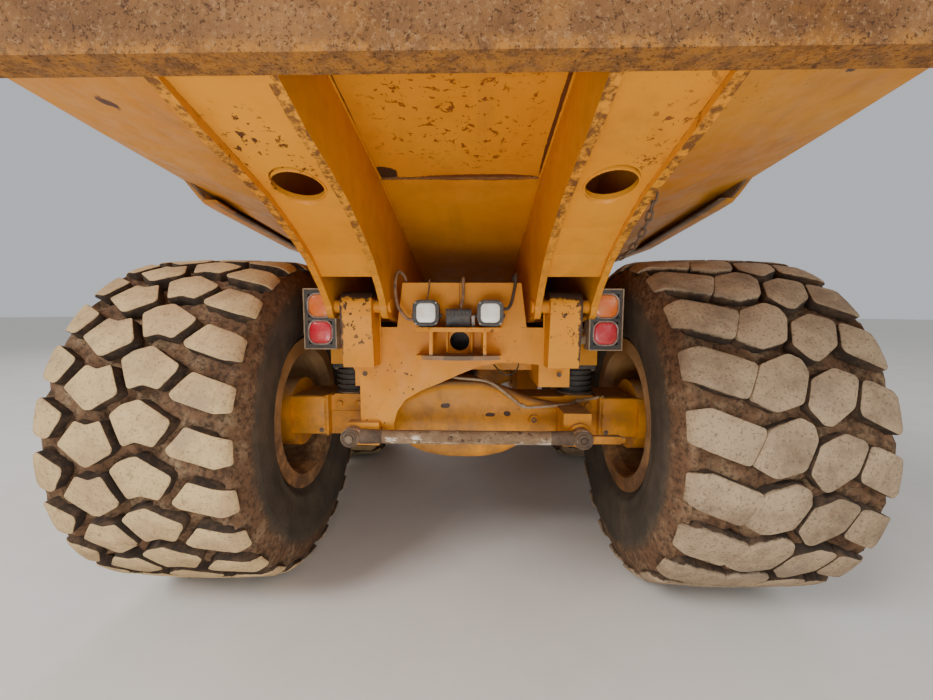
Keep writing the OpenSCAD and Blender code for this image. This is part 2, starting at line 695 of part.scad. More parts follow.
module hoist_barrel(side) {
    color(yellow) at_hoist(side) difference() {
        union() {
            bar_x(-hoist_eye_half, hoist_eye_half, 0, 0, hoist_lug_r - 4);
            bar_y(0, 100, 0, 0, 44);
            bar_y(90, hoist_barrel_end, 0, 0, hoist_r);
            bar_y(hoist_barrel_end - 60, hoist_barrel_end + 20, 0, 0, hoist_r + 3);
        }
        bar_x(-hoist_eye_half - 1, hoist_eye_half + 1, 0, 0, hoist_pin_r + pin_gap);
        bar_y(140, hoist_barrel_end - 60, 0, 0, hoist_r - 13);
        bar_y(140, hoist_barrel_end + 30, 0, 0, hoist_rod_r + pin_gap);
    }
}

module hoist_rod(side) {
    color(steel) at_hoist(side) {
        bar_y(230, hoist_len - 40, 0, 0, hoist_rod_r);
        bar_y(200, 260, 0, 0, hoist_r - 13 - pin_gap);
        bar_x(-40, 40, hoist_len, 0, hinge_eye_r);
        bar_x(-40, 48, hoist_len, 0, 34);
    }
}

// Hitch: a vertical column on an oscillation journal
column_r = 150;
column_z = [790, 1350];
ear_t = 60;
king_r = 60;
lug_a = 380;
lug_b = 50;
lug_z = 1070;
eye_half = 35;

module hitch() {
    color(yellow) translate([0, pivot_y, 0]) {
        bar_z(column_z[0], column_z[1], 0, 0, column_r);
        bar_z(column_z[0] - ear_t - 20, column_z[1] + ear_t + 20, 0, 0, king_r);
        bar_z(column_z[1] + ear_t + 7.3, column_z[1] + ear_t + 30, 0, 0, king_r + 25);
        bar_z(column_z[0] - ear_t - 30, column_z[0] - ear_t - 7.3, 0, 0, king_r + 25);
        bar_y(100, osc_rear - pivot_y - 25, 0, osc_z, osc_r);
        bar_y(osc_front - pivot_y - 60, osc_front - pivot_y - seat_gap, 0, osc_z, osc_r + 60);
        both() for (z = [lug_z - eye_half - side_gap - 28, lug_z + eye_half + side_gap])
            translate([0, 0, z]) linear_extrude(28) {
                translate([lug_a, lug_b]) circle(r = 55);
                polygon([[0, -110], [lug_a, lug_b - 55], [lug_a, lug_b + 55], [0, 280]]);
            }
        both() for (z = [lug_z - eye_half - side_gap - 42, lug_z + eye_half + side_gap + 28])
            bar_z(z, z + 14, lug_a, lug_b, 38);
    }
}

// Steering cylinders, drawn along local +Y from the barrel pin
steer_base = [600, pivot_y - 1005];
steer_eye = [lug_a, pivot_y + lug_b];
steer_d = steer_eye - steer_base;
steer_len = norm(steer_d);
steer_angle = atan2(-steer_d[0], steer_d[1]);
steer_stroke_in = 267;
steer_barrel_end = steer_len - steer_stroke_in - 56;
steer_pin_r = 25;

module at_steer(side) {
    translate([side * steer_base[0], steer_base[1], lug_z]) rotate([0, 0, side * steer_angle]) children();
}

module steer_barrel(side) {
    color(yellow) at_steer(side) difference() {
        union() {
            bar_z(-eye_half, eye_half, 0, 0, 48);
            bar_y(0, 100, 0, 0, 30);
            bar_y(85, steer_barrel_end, 0, 0, steer_r);
        }
        bar_z(-eye_half - 1, eye_half + 1, 0, 0, steer_pin_r + pin_gap);
        bar_y(100, steer_barrel_end - 30, 0, 0, steer_r - 12);
        bar_y(100, steer_barrel_end + 1, 0, 0, steer_rod_r + pin_gap);
    }
}

module steer_rod(side) {
    color(steel) at_steer(side) {
        bar_y(steer_stroke_in + 160, steer_len - 30, 0, 0, steer_rod_r);
        bar_y(steer_stroke_in + 150, steer_stroke_in + 185, 0, 0, steer_r - 12 - pin_gap);
        bar_z(-eye_half, eye_half, 0, steer_len, 45);
    }
}

// Front frame: rails, bumper, bulkhead and the two pivot ears
front_in = 220;
front_out = 340;
front_rail_z = [1130, 1420];
bulk_y = pivot_y - 430;
bumper_z = [830, 1280];
bumper_t = 200;
tie_x = 585;
tie_t = 30;
tie_r = 35;

module front_ear(z) {
    translate([0, pivot_y, z]) linear_extrude(ear_t) difference() {
        union() {
            circle(r = column_r);
            polygon([[-front_out, -390], [front_out, -390], [column_r, 0], [-column_r, 0]]);
        }
        circle(r = king_r + pin_gap);
    }
}

module front_frame() {
    color(yellow) {
        both() {
            block([front_in, front_out], [front_y + bumper_t + seat_gap, bulk_y + 40], front_rail_z);
            steer_bracket();
            // Turret over the axle for the suspension strut
            block([front_out, 700], [axle1_y - 90, axle1_y + 90], [1560, 1640]);
            block([front_out - 60, front_out + 20], [axle1_y - 90, axle1_y + 90], [front_rail_z[1] - 1, 1640]);
        }
        // Posts and pins that carry the hood's hinge ears
        both() {
            for (x = [hood_half - 200, hood_half - 125]) block([x, x + 30], [hood_hinge[0] - 25, hood_hinge[0] + 25],
                [1300, hood_hinge[1] + 22]);
            bar_x(hood_half - 200, hood_half - 95, hood_hinge[0], hood_hinge[1], hood_pin_r);
            block([front_out - 1, hood_half - 95], [hood_hinge[0] - 45, hood_hinge[0] + 45], [1200, 1301]);
        }
        block([-front_out, front_out], [bulk_y, bulk_y + 40], [column_z[0] - ear_t - 7, column_z[1] + ear_t + 7]);
        front_ear(column_z[0] - ear_t - 7);
        front_ear(column_z[1] + 7);
        block([-front_out, front_out], [front_y + 700, front_y + 820], [front_rail_z[0] + 40, front_rail_z[1] - 40]);
    }
}

module front_bumper() {
    color(dark) {
        difference() {
            along_y(front_y, front_y + bumper_t) polygon([[-1250, bumper_z[1]], [-1250, bumper_z[0] + 130],
                [-1130, bumper_z[0]], [1130, bumper_z[0]], [1250, bumper_z[0] + 130], [1250, bumper_z[1]]]);
            both() for (x = [760, 980]) block([x, x + 180], [front_y - 1, front_y + 70], [980, 1130]);
        }
        both() along_x(tie_x, tie_x + tie_t) difference() {
            union() {
                translate([front_y + 110, bumper_z[0] - 45]) circle(r = tie_r + 35);
                translate([front_y + 110 - tie_r - 35, bumper_z[0] - 45]) square([2 * tie_r + 70, 46]);
            }
            translate([front_y + 110, bumper_z[0] - 45]) circle(r = tie_r);
        }
    }
}

// Outriggers under the side decks, and pedestals under the cab deck
module deck_beams() {
    color(dark) both() {
        for (y = [deck_front + 60, deck_mid - 160]) block([front_out + seat_gap, deck_out], [y, y + 100],
            [deck_beam_z, deck_z[0] - seat_gap]);
        for (y = [axle1_y - 680, deck_rear - 120]) block([front_in, front_out], [y, y + 100],
            [front_rail_z[1] + seat_gap, cab_deck_z[0] - seat_gap]);
    }
}

// Fork that holds a steering barrel's eye
module steer_bracket() {
    y = steer_base[1];
    for (z = [lug_z - eye_half - side_gap - 25, lug_z + eye_half + side_gap])
        translate([0, 0, z]) linear_extrude(25) union() {
            translate([steer_base[0], y]) circle(r = 48);
            polygon([[front_out - 60, y - 90], [steer_base[0], y - 48], [steer_base[0], y + 48], [front_out - 60, y + 90]]);
        }
    block([front_in, front_out], [y - 90, y + 90], [lug_z - eye_half - side_gap - 25, front_rail_z[0]]);
    bar_z(lug_z - eye_half - side_gap - 25, lug_z + eye_half + side_gap + 25, steer_base[0], y, steer_pin_r);
}

module front_axle() {
    color(yellow) {
        axle(axle1_y, [0, 330]);
        both() {
            block([560, 680], [axle1_y - 60, axle1_y + 60], [axle_z + arm_z[1], axle_z + arm_z[1] + 30]);
            bar_z(axle_z + arm_z[1] + 30, 1330, 620, axle1_y, 75);
            bar_z(1330, 1560, 620, axle1_y, 50);
        }
    }
}

module engine_block() {
    color(steel) {
        block([-400, 400], [front_y + 480, front_y + 1860], [front_rail_z[1], 2080]);
        block([-front_in + 10, front_in - 10], [front_y + 900, front_y + 1700], [1080, front_rail_z[1]]);
    }
}

// Deck, wheel arches and steps
deck_z = [1420, 1500];
deck_out = 1520;
deck_beam_z = deck_z[0] - 80;
cab_deck_z = [1740, 1800];
arch_in = 862;
arch_out = 1650;
arch_t = 28;
arch_z = axle_z + tyre_r + 140;
deck_mid = axle1_y - tyre_r - 50;
deck_front = deck_mid - 790;
deck_rear = pivot_y - 725;
cab_mount_y = [axle1_y - 600, deck_rear - 120];

function arch_line() = [[-tyre_r - 50, deck_z[1]], [-tyre_r + 210, arch_z - 60], [-tyre_r + 390, arch_z],
    [tyre_r - 390, arch_z], [tyre_r - 210, arch_z - 60], [tyre_r - 80, arch_z - 260]];

module fenders() {
    color(dark) {
        both() {
            // Arch over the front tyre
            along_x(arch_in, arch_out) polygon(concat(
                [for (p = arch_line()) [axle1_y + p[0], p[1]]],
                [for (i = [5:-1:0]) [axle1_y + arch_line()[i][0], arch_line()[i][1] + arch_t]]));
            block([arch_in, arch_in + arch_t], [axle1_y - tyre_r + 210, axle1_y + tyre_r - 355], [cab_deck_z[0], arch_z + 1]);
            block([arch_in - 1, arch_out - 50], [deck_front, deck_mid], deck_z);
        }
    }
}

// Flight of steps on the driver's side
module boarding_steps() {
    color(dark) {
        for (i = [0:2]) block([1050, 1510], [deck_mid - 420 + 60 * i, deck_mid - 150 + 60 * i],
            [560 + 290 * i, 590 + 290 * i]);
        for (x = [1040, 1500]) along_x(x, x + 20) polygon([[deck_mid - 440, 540], [deck_mid - 140, 540],
            [deck_mid - 60, deck_beam_z - seat_gap], [deck_mid - 400, deck_beam_z - seat_gap]]);
    }
}

module cab_deck() {
    color(dark) {
        block([-arch_in + seat_gap, arch_in - seat_gap], [axle1_y - 700, deck_rear], cab_deck_z);
        both() for (y = cab_mount_y) bar_z(cab_deck_z[1] - 1, cab_z, 640, y, 60);
    }
}

// Fuel tank under the right deck
tank_x = [-1600, -930];
tank_z = [800, deck_beam_z - seat_gap];
tank_r = 90;

module fuel_tank() {
    color(dark) along_x(tank_x[0], tank_x[1]) union() {
        y0 = deck_front + 50;
        y1 = deck_mid - 20;
        translate([y0, tank_z[0] + tank_r]) square([y1 - y0, tank_z[1] - tank_z[0] - tank_r]);
        translate([y0 + tank_r, tank_z[0]]) square([y1 - y0 - 2 * tank_r, tank_r + 1]);
        for (y = [y0 + tank_r, y1 - tank_r]) translate([y, tank_z[0] + tank_r]) circle(r = tank_r);
    }
}

// Hood: a hollow shell, open below and behind, with two hinge ears at its foot
hood_rear = axle1_y - 1015;
hood_front = front_y + 230;
hood_z = 1502;
hood_t = 25;
hood_hinge = [front_y + 290, 1470];
hinge_ear_r = 26;
hood_pin_r = 12;

hood_peak = 2560;
hood_brow = [front_y + 700, 2380];
hood_nose = [front_y + 330, 2200];

// Side view of the hood, drawn in by s for the hollow
function hood_line(s) = [[hood_rear, hood_z - (s > 0 ? 1 : 0)], [hood_rear, hood_peak - s], hood_brow + [0, -s],
    hood_nose + [s, -s], [hood_front + s, hood_z - (s > 0 ? 1 : 0)]];

module hood() {
    color(yellow) both() along_x(hood_half - 160, hood_half - 130) difference() {
        union() {
            translate(hood_hinge) circle(r = hinge_ear_r);
            translate([hood_hinge[0] - 46, hood_hinge[1]]) square([70, 90]);
        }
        translate(hood_hinge) circle(r = hood_pin_r + pin_gap);
    }
    color(yellow) difference() {
        along_x(-hood_half, hood_half) polygon(hood_line(0));
        along_x(-hood_half + hood_t, hood_half - hood_t) polygon([
            [hood_rear + 1, hood_z - 1], [hood_rear + 1, hood_peak - hood_t], hood_brow + [0, -hood_t],
            hood_nose + [hood_t, -hood_t], [hood_front + hood_t, hood_z - 1]]);
        block([-grille_half, grille_half], [front_y, front_y + 420], grille_z);
    }
}

grille_half = 560;
grille_z = [1600, 2100];
grille_y = [front_y + 330, front_y + 350];

// A frame and its slats, set in the opening of the hood's nose
module grille() {
    color(dark) {
        along_y(grille_y[0], grille_y[1]) difference() {
            translate([-grille_half + seat_gap, grille_z[0] + seat_gap])
                square([2 * (grille_half - seat_gap), grille_z[1] - grille_z[0] - 2 * seat_gap]);
            translate([-grille_half + 35, grille_z[0] + 35]) square([2 * grille_half - 70, grille_z[1] - grille_z[0] - 70]);
        }
        for (i = [0:7]) block([-grille_half + 34, grille_half - 34], grille_y, [1650 + 52 * i, 1680 + 52 * i]);
    }
}

module headlamps() {
    color("white") both() for (x = [760, 980]) block([x + 1, x + 179], [front_y + 10, front_y + 70], [981, 1129]);
}

module handrails() {
    color(dark) both() {
        bar_z(deck_z[1], 2450, 1560, deck_front + 30, 18);
        bar_z(deck_z[1], 2450, 1560, deck_mid - 60, 18);
        bar_y(deck_front + 12, deck_mid - 42, 1560, 2450, 18);
        bar_y(deck_front + 30, deck_mid - 60, 1560, 1980, 14);
    }
}

module mirrors() {
    color(dark) both() {
        bar_z(2468, 2900, 1560, deck_front + 30, 14);
        block([1440, 1640], [deck_front + 44, deck_front + 84], [2500, 2900]);
    }
}

exhaust_at = [-cab_half - 110, deck_mid - 150];
muffler_r = 110;
muffler_h = 1150;
tail_pipe_r = 62;

module exhaust_stack() {
    color(steel) {
        bar_z(deck_z[1], deck_z[1] + muffler_h, exhaust_at[0], exhaust_at[1], muffler_r);
        bar_z(deck_z[1] + muffler_h - 1, cab_top - 420, exhaust_at[0], exhaust_at[1], tail_pipe_r);
    }
}

// Cab: shell with its windows and door opening cut
cab_front = axle1_y - 995;
cab_rear = pivot_y - 725;
cab_sill = 2350;
door_y = [cab_front + 320, cab_front + 1220];
door_z = [arch_z + arch_t + 20, 3520];
pane_t = 12;

function cab_line(s) = [[cab_front + s, cab_z + s], [cab_front + s, cab_sill], [cab_front + 170 + s, cab_top - 80],
    [cab_front + 270, cab_top - s], [cab_rear - 60, cab_top - s], [cab_rear - s, cab_top - 80], [cab_rear - s, cab_z + s]];

cab_round = 100;

// Outline in X and Z with rounded upper corners
module shoulders(half, low, high, r) {
    translate([-half, low]) square([2 * half, high - low - r]);
    translate([-half + r, high - r - 1]) square([2 * (half - r), r + 1]);
    for (x = [-half + r, half - r]) translate([x, high - r]) circle(r = r);
}

windscreen_z = [2420, 3540];
door_window_z = [2380, 3430];
module windscreen_opening() { block([-740, 740], [cab_front - 50, cab_front + 280], windscreen_z); }
module rear_opening() { block([-700, 700], [cab_rear - 100, cab_rear + 50], [2450, 3480]); }
module right_opening() {
    block([-cab_half - 50, -cab_half + 100], [cab_front + 330, cab_front + 830], [2400, 3480]);
    block([-cab_half - 50, -cab_half + 100], [cab_front + 900, cab_front + 1400], [2400, 3480]);
}
module left_opening() { block([cab_half - 100, cab_half + 50], [door_y[1] + 80, cab_rear - 110], [2400, 3480]); }

module cab_shell() {
    // Hinge pins of the door, each on its own bracket
    color(yellow) for (z = door_knuckles) {
        bar_z(z - 30, z + 60, door_hinge[0], door_hinge[1], door_pin_r);
        bar_z(z - 30, z - seat_gap, door_hinge[0], door_hinge[1], 17);
        block([cab_half - 1, cab_half + 12], [door_hinge[1] - 60, door_hinge[1]], [z - 30, z - seat_gap]);
    }
    color(yellow) difference() {
        intersection() {
            along_x(-cab_half, cab_half) polygon(cab_line(0));
            along_y(cab_front - 1, cab_rear + 1) shoulders(cab_half, cab_z - 1, cab_top, cab_round);
        }
        intersection() {
            along_x(-cab_half + cab_t, cab_half - cab_t) polygon(cab_line(cab_t));
            along_y(cab_front - 1, cab_rear + 1) shoulders(cab_half - cab_t, cab_z, cab_top - cab_t, cab_round - cab_t);
        }
        windscreen_opening();
        rear_opening();
        right_opening();
        left_opening();
        block([cab_half - 100, cab_half + 50], door_y, door_z);
    }
}

door_hinge = [cab_half + 20, door_y[0] - 5];
door_pin_r = 8;
door_knuckles = [2200, 3200];
module cab_door() {
    color(yellow) {
        for (z = door_knuckles) difference() {
            union() {
                bar_z(z, z + 60, door_hinge[0], door_hinge[1], 17);
                block([cab_half - 1, cab_half + 12], [door_y[0] + side_gap, door_y[0] + 60], [z, z + 60]);
            }
            bar_z(z - 1, z + 61, door_hinge[0], door_hinge[1], door_pin_r + pin_gap);
        }
        difference() {
            block([cab_half - cab_t, cab_half], [door_y[0] + side_gap, door_y[1] - side_gap],
                [door_z[0] + side_gap, door_z[1] - side_gap]);
            door_window();
        }
    }
}
module door_window() {
    block([cab_half - 100, cab_half + 50], [door_y[0] + 90, door_y[1] - 90], door_window_z);
}

module cab_glass() {
    color("lightblue") {
        intersection() {
            windscreen_opening();
            along_x(-cab_half, cab_half) polygon([[cab_front + 20, cab_sill], [cab_front + 190, cab_top - 80],
                [cab_front + 190 + pane_t, cab_top - 80], [cab_front + 20 + pane_t, cab_sill]]);
        }
        intersection() { rear_opening(); block([-700, 700], [cab_rear - 36, cab_rear - 24], [2400, 3500]); }
        intersection() { right_opening(); block([-cab_half + 24, -cab_half + 36], [cab_front, cab_rear], [2300, 3500]); }
        intersection() { left_opening(); block([cab_half - 36, cab_half - 24], [cab_front, cab_rear], [2300, 3500]); }
    }
}

module door_glass() {
    color("lightblue") intersection() {
        door_window();
        block([cab_half - 36, cab_half - 24], [cab_front, cab_rear], [2300, 3500]);
    }
}

module driver_seat() {
    seat_y = cab_front + 950;
    color(dark) translate([0, seat_y, cab_z + cab_t]) {
        bar_z(0, 281, 0, 0, 160);
        block([-260, 260], [-260, 260], [280, 440]);
        block([-250, 250], [180, 300], [439, 1080]);
        block([-140, 140], [190, 280], [1079, 1290]);
    }
}

module dashboard() {
    color(dark) {
        floor = cab_z + cab_t;
        block([-cab_half + cab_t, cab_half - cab_t], [cab_front + cab_t, cab_front + 300], [floor, floor + 385]);
        rod([0, cab_front + 280, floor + 380], [0, cab_front + 480, floor + 640], 35);
        translate([0, cab_front + 480, floor + 640]) rotate([35, 0, 0]) union() {
            rotate_extrude() translate([200, 0]) circle(r = 18);
            block([-200, 200], [-20, 20], [-10, 10]);
        }
    }
}

on_tyres() rear_frame();
on_tyres() drive_axles();
on_tyres() bogie_beams();
on_tyres() bogie_springs();
on_tyres() axle_rods();
on_tyres() prop_shafts();
on_tyres() tail_lamps();
on_tyres() tail_lenses();
on_tyres() work_lamps();
on_tyres() rear_cables();
on_tyres() body_tub();
on_tyres() body_beams();
on_tyres() tail_lip();
on_tyres() body_chain();
on_tyres() hoist_barrel(1);  // hoist_barrel_left
on_tyres() hoist_barrel(-1);  // hoist_barrel_right
on_tyres() hoist_rod(1);  // hoist_rod_left
on_tyres() hoist_rod(-1);  // hoist_rod_right
on_tyres() tyre(1, axle1_y);  // tyre_front_left
on_tyres() tyre(-1, axle1_y);  // tyre_front_right
on_tyres() tyre(1, axle2_y);  // tyre_mid_left
on_tyres() tyre(-1, axle2_y);  // tyre_mid_right
on_tyres() tyre(1, axle3_y);  // tyre_rear_left
on_tyres() tyre(-1, axle3_y);  // tyre_rear_right
on_tyres() rim(1, axle1_y);  // rim_front_left
on_tyres() rim(-1, axle1_y);  // rim_front_right
on_tyres() rim(1, axle2_y);  // rim_mid_left
on_tyres() rim(-1, axle2_y);  // rim_mid_right
on_tyres() rim(1, axle3_y);  // rim_rear_left
on_tyres() rim(-1, axle3_y);  // rim_rear_right
on_tyres() hitch();
on_tyres() steer_barrel(1);  // steer_barrel_left
on_tyres() steer_barrel(-1);  // steer_barrel_right
on_tyres() steer_rod(1);  // steer_rod_left
on_tyres() steer_rod(-1);  // steer_rod_right
on_tyres() front_frame();
on_tyres() front_bumper();
on_tyres() deck_beams();
on_tyres() front_axle();
on_tyres() engine_block();
on_tyres() fenders();
on_tyres() cab_deck();
on_tyres() boarding_steps();
on_tyres() fuel_tank();
on_tyres() hood();
on_tyres() grille();
on_tyres() headlamps();
on_tyres() handrails();
on_tyres() mirrors();
on_tyres() exhaust_stack();
on_tyres() cab_shell();
on_tyres() cab_door();
on_tyres() cab_glass();
on_tyres() door_glass();
on_tyres() driver_seat();
on_tyres() dashboard();
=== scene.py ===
"""Looks of an articulated dump truck: paint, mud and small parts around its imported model."""
import math

import bmesh
import bpy
from mathutils import Matrix, Vector, noise


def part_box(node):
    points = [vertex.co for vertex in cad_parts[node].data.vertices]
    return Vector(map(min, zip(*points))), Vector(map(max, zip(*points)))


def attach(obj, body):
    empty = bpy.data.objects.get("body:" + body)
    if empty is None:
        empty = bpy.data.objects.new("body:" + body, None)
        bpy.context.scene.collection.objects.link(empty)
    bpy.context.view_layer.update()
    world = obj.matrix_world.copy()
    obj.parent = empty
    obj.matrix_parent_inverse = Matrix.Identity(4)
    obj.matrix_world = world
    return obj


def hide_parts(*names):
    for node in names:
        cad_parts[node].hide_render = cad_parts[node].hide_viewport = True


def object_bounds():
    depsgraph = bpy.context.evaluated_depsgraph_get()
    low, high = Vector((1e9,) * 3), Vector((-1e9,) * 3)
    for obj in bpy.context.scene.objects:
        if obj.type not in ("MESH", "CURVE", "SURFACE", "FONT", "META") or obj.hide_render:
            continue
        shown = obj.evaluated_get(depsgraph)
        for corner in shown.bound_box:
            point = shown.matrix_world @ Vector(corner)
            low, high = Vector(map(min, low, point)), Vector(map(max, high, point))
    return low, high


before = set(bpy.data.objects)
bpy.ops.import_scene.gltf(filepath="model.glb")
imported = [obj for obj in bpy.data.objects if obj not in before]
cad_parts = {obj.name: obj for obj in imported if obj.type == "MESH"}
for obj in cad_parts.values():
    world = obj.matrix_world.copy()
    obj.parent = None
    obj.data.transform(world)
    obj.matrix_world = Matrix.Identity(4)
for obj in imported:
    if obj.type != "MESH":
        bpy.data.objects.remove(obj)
CAD_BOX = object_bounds()

bl_info = {
    "name": "Articulated dump truck",
    "version": (1, 0, 0),
    "blender": (4, 5, 0),
    "location": "View3D > Sidebar > Truck",
    "description": "Builds the looks of a six-wheel articulated dump truck",
    "category": "Add Mesh",
}

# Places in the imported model: tyre centres, bumper face, axles, rear plate, tail hinge and the bead on the floor
WHEEL = {name[5:]: (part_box(name)[0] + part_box(name)[1]) / 2 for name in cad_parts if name.startswith("tyre_")}
FRONT = CAD_BOX[0][1]
AXLE_2, AXLE_3 = WHEEL["mid_left"].y, WHEEL["rear_left"].y
PLATE = AXLE_3 + 0.375
HINGE = Vector((0, AXLE_3 + 0.47, 1.545))
WELD_Y = AXLE_3 + 0.62
TYRE_R = 0.91
X, Y, Z = Vector((1, 0, 0)), Vector((0, 1, 0)), Vector((0, 0, 1))


# Sizes and colours a user may change

def tint(name, text, default):
    return bpy.props.FloatVectorProperty(name=name, description=text, subtype="COLOR", size=3, min=0, max=1,
                                         default=default)


def length(name, text, default, low=0, high=1):
    return bpy.props.FloatProperty(name=name, description=text, unit="LENGTH", default=default, min=low, max=high)


def angle(name, text, degrees):
    return bpy.props.FloatProperty(name=name, description=text, unit="ROTATION", default=math.radians(degrees))


class TruckFinishes(bpy.types.PropertyGroup):
    """Colours of the truck."""
    paint: tint("Paint", "Colour of clean body paint", (0.66, 0.235, 0.008))
    faded: tint("Faded paint", "Colour of sun-bleached paint", (0.7, 0.285, 0.018))
    rust: tint("Rust", "Colour of bare rusty steel", (0.105, 0.042, 0.018))
    mud: tint("Mud", "Colour of dried mud", (0.15, 0.078, 0.04))
    sand: tint("Sand", "Colour of dust", (0.31, 0.215, 0.12))
    black: tint("Black", "Colour of dark painted steel", (0.028, 0.027, 0.026))


class TruckTyres(bpy.types.PropertyGroup):
    """Sizes of the tyres' lugs."""
    lug_depth: length("Lug depth", "Height of the tread blocks", 0.052, 0.02, 0.07)
    shoulder: length("Shoulder radius", "Radius of the tread's shoulder", 0.085, 0.04, 0.12)
    clods: length("Clods", "Height of the mud between the blocks", 0.02, 0, 0.03)


class TruckView(bpy.types.PropertyGroup):
    """Where the picture is taken from."""
    place: bpy.props.FloatVectorProperty(name="Place", description="Place of the camera", subtype="TRANSLATION",
                                         unit="LENGTH", size=3, default=(-0.074, AXLE_3 + 2.45, 1.515))
    yaw: angle("Yaw", "Turn of the camera to the right", -1.35)
    pitch: angle("Pitch", "Tilt of the camera upwards", -5.24)
    roll: angle("Roll", "Roll of the camera", 0.16)
    lens: bpy.props.FloatProperty(name="Lens", description="Focal length on a 36 mm wide sensor", unit="CAMERA",
                                  default=15.7)


# Mesh tools. Each adds a form to an open bmesh.

def verts_in(geom):
    return [g for g in geom if isinstance(g, bmesh.types.BMVert)]


def edges_at(verts):
    return list({e for v in verts for e in v.link_edges})


def facing(axis):
    """Turn that brings local Z onto an axis."""
    return Vector(axis).to_track_quat("Z", "Y").to_matrix()


def soften(bm, edges, width, segments=2):
    if width > 0:
        bmesh.ops.bevel(bm, geom=edges, offset=width, offset_type="OFFSET", segments=segments, profile=0.5,
                        affect="EDGES", clamp_overlap=True, material=-1)


def brick(bm, centre, size, round_=0.004, segments=2, turn=None):
    """A block around its centre."""
    made = bmesh.ops.create_cube(bm, size=1)["verts"]
    bmesh.ops.scale(bm, vec=size, verts=made)
    if turn is not None:
        bmesh.ops.rotate(bm, cent=(0, 0, 0), matrix=turn, verts=made)
    bmesh.ops.translate(bm, vec=centre, verts=made)
    soften(bm, edges_at(made), round_, segments)


def block(bm, low, high, round_=0.004, segments=2, turn=None):
    """A block between two corners."""
    low, high = Vector(low), Vector(high)
    brick(bm, (low + high) / 2, high - low, round_, segments, turn)


def drum(bm, a, b, r, r2=None, sides=32, round_=0):
    """A round bar or cone from a to b."""
    a, b = Vector(a), Vector(b)
    put = Matrix.Translation((a + b) / 2) @ facing(b - a).to_4x4()
    made = bmesh.ops.create_cone(bm, cap_ends=True, cap_tris=False, segments=sides, radius1=r,
                                 radius2=r if r2 is None else r2, depth=(b - a).length, matrix=put)["verts"]
    if round_ > 0:
        soften(bm, [e for e in edges_at(made) if any(len(f.verts) > 4 for f in e.link_faces)], round_)


def bolts(bm, places, out, r=0.015, h=0.012, washer=True):
    """Hexagon heads with washers that face along out."""
    out = Vector(out).normalized()
    for p in places:
        p = Vector(p)
        if washer:
            drum(bm, p, p + out * 0.003, r * 1.45, sides=20)
        drum(bm, p, p + out * h, r, sides=6, round_=r * 0.12)


def ring(centre, axis, r, n, start=0):
    """n places on a circle around an axis."""
    return [Vector(centre) + facing(axis) @ Vector((r * math.cos(a), r * math.sin(a), 0))
            for a in (start + math.tau * i / n for i in range(n))]


def turned(bm, outline, centre, axis, steps=64):
    """A closed revolve: outline holds (radius, place along axis) pairs and ends on the axis or where it began."""
    put = Matrix.Translation(centre) @ facing(axis).to_4x4()
    verts = [bm.verts.new(put @ Vector((r, 0, h))) for r, h in outline]
    edges = [bm.edges.new(pair) for pair in zip(verts, verts[1:])]
    made = bmesh.ops.spin(bm, geom=verts + edges, cent=centre, axis=put.to_3x3() @ Z, angle=math.tau, steps=steps,
                          use_merge=True, use_duplicate=False, use_normal_flip=False)
    front = set(verts_in(made["geom_last"])) | set(verts)
    grown = set(front)
    while front:
        front = {e.other_vert(v) for v in front for e in v.link_edges} - grown
        grown |= front
    bmesh.ops.remove_doubles(bm, verts=list(grown), dist=1e-5)
    return [v for v in grown if v.is_valid]


def smooth_route(points, steps=6):
    """Points on a soft curve through the given ones."""
    p = [Vector(q) for q in points]
    last = len(p) - 1
    out = []
    for i in range(last):
        a, b, c, d = (p[max(0, min(last, i + k))] for k in (-1, 0, 1, 2))
        for t in (s / steps for s in range(steps)):
            out.append(0.5 * (2 * b + (c - a) * t + (2 * a - 5 * b + 4 * c - d) * t * t
                              + (3 * b - a - 3 * c + d) * t ** 3))
    return out + [p[-1]]


def tube(bm, route, r, sides=10, closed=False, lumps=0):
    """A round bar swept along a route, made by extruding a ring of edges."""
    route = [Vector(p) for p in route]
    n = len(route)
    first = bmesh.ops.create_circle(bm, cap_ends=False, segments=sides, radius=1)["verts"]
    unit = [v.co.copy() for v in first]
    rows, base = [first], edges_at(first)
    edges, along, turn = base, None, None
    for i, spot in enumerate(route):
        if i:
            grown = bmesh.ops.extrude_edge_only(bm, edges=edges)["geom"]
            new = set(verts_in(grown))
            edges = [g for g in grown if isinstance(g, bmesh.types.BMEdge) and all(v in new for v in g.verts)]
            rows.append([next(e.other_vert(v) for e in v.link_edges if e.other_vert(v) in new) for v in rows[-1]])
        ahead = route[(i + 1) % n] if closed else route[min(i + 1, n - 1)]
        behind = route[(i - 1) % n] if closed else route[max(i - 1, 0)]
        before, along = along, (ahead - behind).normalized()
        turn = before.rotation_difference(along) @ turn if before else along.to_track_quat("Z", "Y")
        thick = r * (1 + lumps * noise.noise(spot * 90)) if lumps else r
        for v, u in zip(rows[-1], unit):
            v.co = spot + turn @ (u * thick)
    if closed:
        bmesh.ops.bridge_loops(bm, edges=list(edges) + base)
    else:
        for row in (rows[0], rows[-1]):
            bmesh.ops.contextual_create(bm, geom=row)


def pipe(bm, points, r, sides=10, steps=6, lumps=0):
    """A tube on a soft curve."""
    tube(bm, smooth_route(points, steps), r, sides, lumps=lumps)


def weld(bm, points, r=0.007):
    """A lumpy weld bead along straight stretches."""
    points = [Vector(p) for p in points]
    route = []
    for a, b in zip(points, points[1:]):
        steps = max(2, int((b - a).length / 0.018))
        route += [a + (b - a) * (k / steps) for k in range(steps)]
    tube(bm, route + points[-1:], r, sides=6, lumps=0.35)


